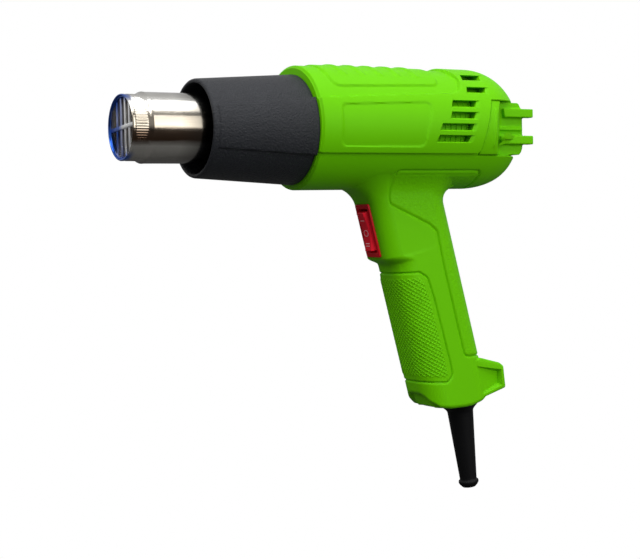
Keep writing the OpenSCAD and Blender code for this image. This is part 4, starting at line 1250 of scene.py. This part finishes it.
# Each plastic's colour, roughness, specular, drift, grain scale, grain height, edge wear and bump
plastics = {
    "housing": ("limeHousing", (0.126, 0.51, 0.0), 0.48, 0.07, 0.04, 1100.0, 0.35, 0.1, 0.2, gripGrain),
    "sleeve": ("slateSleeve", (0.0115, 0.013, 0.017), 0.46, 0.3, 0.2, 1000.0, 2.4, 0.3, 1.0),
    "bezel": ("redFrame", (0.56, 0.008, 0.014), 0.4, 0.1, 0.05, 1200.0, 0.2, 0.25, 0.15),
    "paddle": ("redPaddle", (0.9, 0.014, 0.034), 0.4, 0.1, 0.05, 1200.0, 0.2, 0.3, 0.15),
    "boot": ("blackBoot", (0.003, 0.003, 0.0035), 0.5, 0.14, 0.3, 1400.0, 0.6, 0.4, 0.3),
    "mark": ("pinkMark", (0.95, 0.5, 0.53), 0.45, 0.3, 0.05, 1200.0, 0.2, 0.1, 0.1),
    "ferrite": ("ferrite", (0.05, 0.047, 0.045), 0.6, 0.4, 0.2, 700.0, 1.0, 0.5, 0.4),
    "mica": ("micaSheet", (0.5, 0.42, 0.28), 0.45, 0.5, 0.3, 500.0, 1.0, 0.3, 0.4),
    "ceramic": ("firedCeramic", (0.74, 0.7, 0.6), 0.6, 0.4, 0.12, 900.0, 0.8, 0.2, 0.3),
    "darkPlastic": ("darkMoulding", (0.03, 0.03, 0.033), 0.5, 0.4, 0.15, 900.0, 0.8, 0.4, 0.3),
    "fan": ("ivoryFan", (0.68, 0.65, 0.56), 0.45, 0.4, 0.06, 900.0, 0.6, 0.2, 0.2),
    "nylon": ("paleNylon", (0.72, 0.7, 0.62), 0.5, 0.4, 0.06, 900.0, 0.6, 0.2, 0.2),
    "board": ("circuitBoard", (0.03, 0.17, 0.07), 0.4, 0.5, 0.25, 1300.0, 0.7, 0.6, 0.3),
    "epoxy": ("blackEpoxy", (0.01, 0.01, 0.011), 0.4, 0.5, 0.3, 900.0, 0.6, 0.8, 0.2),
    "film": ("filmBox", (0.7, 0.5, 0.06), 0.35, 0.45, 0.06, 900.0, 0.4, 0.2, 0.2),
}
# Each metal's colour, roughness, cloudiness of its bump, and bump, and for two of them the painted reflection
# and shade on their colour
metals = {
    "outlet": ("drawnSteelPaintedReflection", (0.95, 0.93, 0.9), 0.16, 0.8, 0.2, tubeReflectionAndShade),
    "grille": ("steelWithBlueReflection", (0.86, 0.86, 0.86), 0.34, 0.5, 0.2, paintedBlueReflection),
    "zinc": ("zincSteel", (0.55, 0.56, 0.58), 0.34, 1.0, 0.2),
    "screw": ("screwSteel", (0.3, 0.3, 0.32), 0.38, 1.0, 0.2),
    "copper": ("copperBars", (0.8, 0.4, 0.22), 0.32, 0.6, 0.2),
    "brass": ("tinnedBrass", (0.8, 0.62, 0.32), 0.3, 0.6, 0.2),
    "bronze": ("porousBronze", (0.5, 0.36, 0.18), 0.5, 2.0, 0.5),
    "shaft": ("groundSteel", (0.7, 0.7, 0.72), 0.16, 0.2, 0.1),
    "wire": ("resistanceWire", (0.36, 0.33, 0.32), 0.42, 1.0, 0.3),
    "laminations": ("laminations", (0.4, 0.24, 0.16), 0.48, 2.0, 0.5),
}
looks = {key: plastic(*row) for key, row in plastics.items()}
looks.update({key: metal(*row) for key, row in metals.items()})
print("materials made")

# Pieces that repeat, grown by geometry nodes: outlet bars, vent ribs and screws


def growTree(name, values):
    # A new tree with a named input for each of the values, and what comes out of its first node
    tree = bpy.data.node_groups.new(name, "GeometryNodeTree")
    tree.interface.new_socket("Geometry", in_out="INPUT", socket_type="NodeSocketGeometry")
    for label, value in values.items():
        kind = "NodeSocketInt" if isinstance(value, int) else "NodeSocketFloat"
        tree.interface.new_socket(label, in_out="INPUT", socket_type=kind).default_value = value
    tree.interface.new_socket("Material", in_out="INPUT", socket_type="NodeSocketMaterial")
    tree.interface.new_socket("Geometry", in_out="OUTPUT", socket_type="NodeSocketGeometry")
    return tree, tree.nodes.new("NodeGroupInput").outputs


def finishTree(tree, geometry, source):
    real = put(tree, "GeometryNodeRealizeInstances", Geometry=geometry)
    dyed = put(tree, "GeometryNodeSetMaterial", Geometry=real.outputs[0], Material=source["Material"])
    put(tree, "NodeGroupOutput", Geometry=dyed.outputs[0])
    return tree


def sum3(tree, x=0.0, y=0.0, z=0.0):
    return put(tree, "ShaderNodeCombineXYZ", X=x, Y=y, Z=z).outputs[0]


def grown(name, tree, look, values, points=()):
    # Runs a tree on a mesh of points, and keeps the result as a plain mesh
    data = bpy.data.meshes.new(name)
    data.from_pydata([tuple(c * mm for c in p) for p in points], [], [])
    piece = addObject(name, data)
    mod = piece.modifiers.new("grow", "NODES")
    mod.node_group = tree
    for item in tree.interface.items_tree:
        if item.in_out == "INPUT" and item.name in values:
            mod[item.identifier] = values[item.name]
        if item.in_out == "INPUT" and item.name == "Material":
            mod[item.identifier] = looks[look]
    settle(piece)
    tidyNormals(piece, 0.0005)
    piece.data.validate()
    return piece


grille = {
    "Bars": 4, "Pitch": 0.00538, "Bar Width": 0.0017, "Depth": 0.0024, "Front": 0.0014, "Radius": 0.0161,
    "Cross Width": 0.0022, "Cross Turn": math.radians(-4),
}
grilleRing = {"front": 0.8, "rear": 3.8, "outer": 16.62, "inner": 15.55, "soft": 0.25, "around": 128}


def barTree():
    tree, source = growTree("grilleBars", grille)
    last = minus(tree, source["Bars"], 1.0)
    start = times(tree, times(tree, last, source["Pitch"]), -0.5)
    middle = plus(tree, source["Front"], times(tree, source["Depth"], 0.5))
    line = put(tree, "GeometryNodeMeshLine", Count=source["Bars"], Start_Location=sum3(tree, middle, start),
               Offset=sum3(tree, 0.0, source["Pitch"]))
    place = put(tree, "GeometryNodeInputPosition").outputs[0]
    across = put(tree, "ShaderNodeSeparateXYZ", Vector=place).outputs[1]
    squares = [mathNode(tree, "POWER", a, 2.0) for a in (source["Radius"], across)]
    tall = times(tree, mathNode(tree, "SQRT", minus(tree, *squares)), 2.0)
    bar = put(tree, "GeometryNodeMeshCube", Size=sum3(tree, source["Depth"], source["Bar Width"], 1.0))
    bars = put(tree, "GeometryNodeInstanceOnPoints", Points=line.outputs[0], Instance=bar.outputs[0],
               Scale=sum3(tree, 1.0, 1.0, tall))
    wide = times(tree, source["Radius"], 2.0)
    cross = put(tree, "GeometryNodeMeshCube", Size=sum3(tree, source["Depth"], wide, source["Cross Width"]))
    # the cross bar stands a little in front, so that the bars don't share a face with it
    stood = put(tree, "GeometryNodeTransform", Geometry=cross.outputs[0],
                Translation=sum3(tree, minus(tree, middle, 0.0004)),
                Rotation=sum3(tree, source["Cross Turn"]))
    both = put(tree, "GeometryNodeJoinGeometry", Geometry=[bars.outputs[0], stood.outputs[0]])
    return finishTree(tree, both.outputs[0], source)


def buildGrille():
    q = grilleRing
    bars = grown("bars", barTree(), "grille", grille)
    bevelEdges(bars, 0.3, 2)
    s = q["soft"]
    profile = [(q["front"] + s, q["outer"]), (q["rear"], q["outer"]), (q["rear"], q["inner"]),
               (q["front"] + s, q["inner"]), (q["front"], q["inner"] + s), (q["front"], q["outer"] - s)]
    piece = join([turned("rim", profile, q["around"]), bars], "outletGrille")
    shade(piece, 35)
    return piece


ventRibs = {
    "Ribs": 8, "First": 0.1755, "Pitch": 0.0036, "Radius": 0.0295, "Thick": 0.0006,
    "Low": math.radians(-18), "Sweep": math.radians(84),
}


def ribTree():
    tree, source = growTree("ventRibs", ventRibs)
    arc = put(tree, "GeometryNodeCurveArc", Resolution=28, Radius=source["Radius"], Start_Angle=source["Low"],
              Sweep_Angle=source["Sweep"])
    section = put(tree, "GeometryNodeCurvePrimitiveCircle", Resolution=10, Radius=source["Thick"])
    rib = put(tree, "GeometryNodeCurveToMesh", Curve=arc.outputs[0], Profile_Curve=section.outputs[0],
              Fill_Caps=True)
    upright = put(tree, "GeometryNodeTransform", Geometry=rib.outputs[0],
                  Rotation=(math.pi / 2, 0.0, math.pi / 2))
    far = put(tree, "GeometryNodeTransform", Geometry=upright.outputs[0], Scale=(1.0, -1.0, 1.0))
    flipped = put(tree, "GeometryNodeFlipFaces", Mesh=far.outputs[0])
    pair = put(tree, "GeometryNodeJoinGeometry", Geometry=[upright.outputs[0], flipped.outputs[0]])
    line = put(tree, "GeometryNodeMeshLine", Count=source["Ribs"], Start_Location=sum3(tree, source["First"]),
               Offset=sum3(tree, source["Pitch"]))
    ribs = put(tree, "GeometryNodeInstanceOnPoints", Points=line.outputs[0], Instance=pair.outputs[0])
    return finishTree(tree, ribs.outputs[0], source)


screens = [
    # profile of (x, radius) about the barrel's axis, and the part of it that is kept
    ([(172.0, 28.3), (172.0, 31.0), (173.0, 31.0), (173.0, 29.5), (202.0, 29.5), (202.0, 31.0), (202.8, 31.0),
      (202.8, 28.3)], (160, -60, -9.5), (210, 60, 40)),
    ([(202.6, 28.0), (202.6, 29.7), (216.0, 29.7), (216.0, 30.9), (217.0, 30.9), (217.0, 28.0)],
     (160, -60, 18.0), (230, 60, 40)),
]


def buildRibs():
    # Ribs behind the slots, on two thin screens that hide the inside of the barrel
    parts = [grown("ribs", ribTree(), "housing", ventRibs)]
    for profile, low, high in screens:
        parts.append(turned("screen", profile, 96, barrel["axis"]))
        combine(parts[-1], block("screenKept", low, high), "INTERSECT")
    piece = join(parts, "ventRibs")
    shade(piece, 35)
    return piece


screws = {
    "Head Radius": 0.0029, "Head Height": 0.0024, "Shank Radius": 0.00145, "Shank Length": 0.0138,
    "Slot Long": 0.0036, "Slot Wide": 0.0008, "Slot Deep": 0.0012, "Seed": 7,
}


def lifted(tree, shape, height):
    moved = put(tree, "GeometryNodeTransform", Geometry=shape.outputs["Mesh"],
                Translation=sum3(tree, 0.0, 0.0, height))
    return moved.outputs[0]


def screwTree():
    tree, source = growTree("crossScrews", screws)
    high, wide, long = (source[key] for key in ("Head Height", "Head Radius", "Shank Length"))
    flat = times(tree, high, 0.6)
    rim = times(tree, high, 0.45)
    head = put(tree, "GeometryNodeMeshCylinder", Vertices=40, Radius=wide, Depth=flat)
    crown = put(tree, "GeometryNodeMeshCone", Vertices=40, Depth=rim, Radius_Bottom=times(tree, wide, 0.97),
                Radius_Top=times(tree, wide, 0.72))
    shank = put(tree, "GeometryNodeMeshCylinder", Vertices=20, Radius=source["Shank Radius"], Depth=long)
    lifts = (times(tree, flat, 0.5), minus(tree, high, rim), times(tree, long, -0.49))
    solids = [lifted(tree, q, lift) for q, lift in zip((head, crown, shank), lifts)]
    solid = put(tree, "GeometryNodeMeshBoolean", {"operation": "UNION"}, _1=solids)
    deep = times(tree, source["Slot Deep"], 2.0)
    one = put(tree, "GeometryNodeMeshCube", Size=sum3(tree, source["Slot Long"], source["Slot Wide"], deep))
    two = put(tree, "GeometryNodeMeshCube", Size=sum3(tree, source["Slot Wide"], source["Slot Long"], deep))
    cuts = [lifted(tree, q, high) for q in (one, two)]
    screw = put(tree, "GeometryNodeMeshBoolean", {"operation": "DIFFERENCE"}, _0=solid.outputs[0], _1=cuts)
    stood = put(tree, "GeometryNodeInstanceOnPoints", Points=source["Geometry"], Instance=screw.outputs[0],
                Rotation=(-math.pi / 2, 0.0, 0.0))
    spin = put(tree, "FunctionNodeRandomValue", {"data_type": "FLOAT"}, Seed=source["Seed"], _3=3.14)
    turned = put(tree, "GeometryNodeRotateInstances", Instances=stood.outputs[0],
                 Rotation=sum3(tree, 0.0, 0.0, spin.outputs[1]))
    return finishTree(tree, turned.outputs[0], source)


def buildScrews():
    places = [(x, bosses["floor"], z) for x, z, _ in bossPlaces()]
    piece = grown("housingScrews", screwTree(), "screw", screws, places)
    shade(piece, 35)
    return piece


grillePiece = buildGrille()
ribsPiece = buildRibs()
screwsPiece = buildScrews()
print("bars, ribs and screws grown")

# Dressing


def markSaddle(piece):
    # Writes where the textured rear panel is, for the material
    data = piece.data
    co = np.empty(len(data.vertices) * 3)
    data.vertices.foreach_get("co", co)
    x, z = co[0::3] / mm, co[2::3] / mm
    value = inside(outlineDistance(x, z, saddleOutline) + 1.2, 1.2)
    attribute = data.attributes.new("saddle", "FLOAT", "POINT")
    attribute.data.foreach_set("value", value)


def dress(piece, look, body, slot, *stands):
    piece.data.materials.clear()
    piece.data.materials.append(looks[look])
    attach(piece, body)
    if stands:
        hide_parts(*stands)


for half, node in zip(housingHalves, ("housing_left", "housing_right")):
    markSaddle(half)
    dress(half, "housing", "housing", "housing", node)
dressing = [
    # piece, look, body, slot and the CAD node that it replaces
    (coverPiece, "housing", "housing", "rear_cover", "rear_cap"),
    (sleevePiece, "sleeve", "housing", "sleeve", "front_sleeve"),
    (outletPiece, "outlet", "housing", "outlet_tube", "nozzle_tube"),
    (bootPiece, "boot", "housing", "boot", "cord_boot"),
    (bezelPiece, "bezel", "housing", "switch_frame", "switch_body"),
    (paddlePiece, "paddle", "paddle", "switch_paddle", "switch_rocker"),
    (marksPiece, "mark", "paddle", "switch_paddle"),
    (grillePiece, "grille", "housing", "grille", "outlet_grille"),
    (screwsPiece, "screw", "housing", "screw_steel", "housing_screws"),
    (ribsPiece, "housing", "housing", "housing"),
]
for row in dressing:
    dress(*row)

nodeLooks = {
    "switch_terminals": "brass", "insulator_tube": "mica", "heater_core": "mica", "heater_coil": "wire",
    "heater_base": "ceramic", "thermal_cutout": "brass", "tube_flange": "zinc", "flange_screws": "screw",
    "air_duct": "darkPlastic", "fan_impeller": "fan", "motor_shaft": "shaft",
    "motor_armature": "laminations", "commutator": "copper", "motor_can": "zinc",
    "motor_magnets": "ferrite", "shaft_bushes": "bronze", "motor_end_bell": "nylon",
    "motor_brushes": "brass", "motor_bracket": "darkPlastic", "motor_screws": "screw",
    "rectifier_board": "board", "rectifier_diodes": "epoxy", "suppressor": "film", "cord_clamp": "nylon",
    "clamp_screws": "screw",
}
for name, look in nodeLooks.items():
    for slot in nodes[name].material_slots:
        slot.material = looks[look]
print("pieces dressed")

# Floor and light

stageSet = {
    "floor": -210.6, "size": 6000.0, "floorColour": (0.1, 0.1, 0.1, 1), "world": 0.58, "glossShare": 0.25,
    "sky": [(0.0, (0.05, 0.05, 0.05)), (0.45, (0.12, 0.12, 0.12)), (0.62, (0.8, 0.8, 0.8)), (1.0, (1, 1, 1))],
}
white = (1, 1, 1, 1)
# Each lamp's place, what it is aimed at and its size in metres, and its power
lamps = {
    "overhead": ((0.15, -0.35, 1.1), (0.14, 0, -0.02), (1.3, 0.9), 10.5),
    "left": ((-0.75, -0.35, 0.75), (0.1, 0, 0.0), (0.6, 0.5), 5.0),
    "side": ((0.45, -1.25, 0.35), (0.14, 0, -0.06), (0.9, 0.9), 9.0),
}


def addFloor():
    half, z = stageSet["size"] / 2, stageSet["floor"]
    corners = [(-half, -half, z), (half, -half, z), (half, half, z), (-half, half, z)]
    floor = newMesh("floor", corners, [[0, 1, 2, 3]])
    m = bpy.data.materials.new("paleFloor")
    tree = emptyTree(m)
    diffuse = put(tree, "ShaderNodeBsdfDiffuse", Color=stageSet["floorColour"])
    # plain white to the camera and through clear things, and the diffuse shader to everything else
    rays = tree.nodes.new("ShaderNodeLightPath").outputs
    seen = mathNode(tree, "MAXIMUM", rays["Is Camera Ray"], rays["Is Transmission Ray"])
    glow = put(tree, "ShaderNodeEmission", Color=white, Strength=1.0)
    mix = put(tree, "ShaderNodeMixShader", _0=seen, _1=diffuse.outputs[0], _2=glow.outputs[0])
    put(tree, "ShaderNodeOutputMaterial", _0=mix.outputs[0])
    floor.data.materials.append(m)
    floor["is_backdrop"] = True


def addWorld():
    world = bpy.data.worlds.new("studio")
    bpy.context.scene.world = world
    tree = emptyTree(world)
    ray = tree.nodes.new("ShaderNodeTexCoord").outputs["Generated"]
    up = put(tree, "ShaderNodeSeparateXYZ", _0=ray).outputs[2]
    sky = rampNode(tree, plus(tree, times(tree, up, 0.5), 0.5), stageSet["sky"])
    soft = put(tree, "ShaderNodeBackground", Color=sky, Strength=stageSet["world"])
    plain = put(tree, "ShaderNodeBackground", Color=white, Strength=1.0)
    # white behind the object, and partly white where metal shows it
    rays = tree.nodes.new("ShaderNodeLightPath").outputs
    seen = plus(tree, rays["Is Camera Ray"], rays["Is Transmission Ray"], True)
    seen = plus(tree, seen, times(tree, rays["Is Glossy Ray"], stageSet["glossShare"]), True)
    mix = put(tree, "ShaderNodeMixShader", _0=seen, _1=soft.outputs[0], _2=plain.outputs[0])
    put(tree, "ShaderNodeOutputWorld", _0=mix.outputs[0])


def addLamp(name, place, aim, size, power):
    data = bpy.data.lights.new(name, "AREA")
    data.shape = "RECTANGLE"
    data.size, data.size_y = size
    data.energy = power
    lamp = addObject(name, data)
    lamp.location = Vector(place)
    lamp.rotation_euler = (Vector(aim) - Vector(place)).to_track_quat("-Z", "Y").to_euler()


addFloor()
addWorld()
for name, row in lamps.items():
    addLamp(name, *row)
bpy.context.scene.view_settings.view_transform = "Standard"
print("stage set")

boxes = {"cad": cadBox, "visual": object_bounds()}
boxes = {key: [list(map(float, corner)) for corner in box] for key, box in boxes.items()}
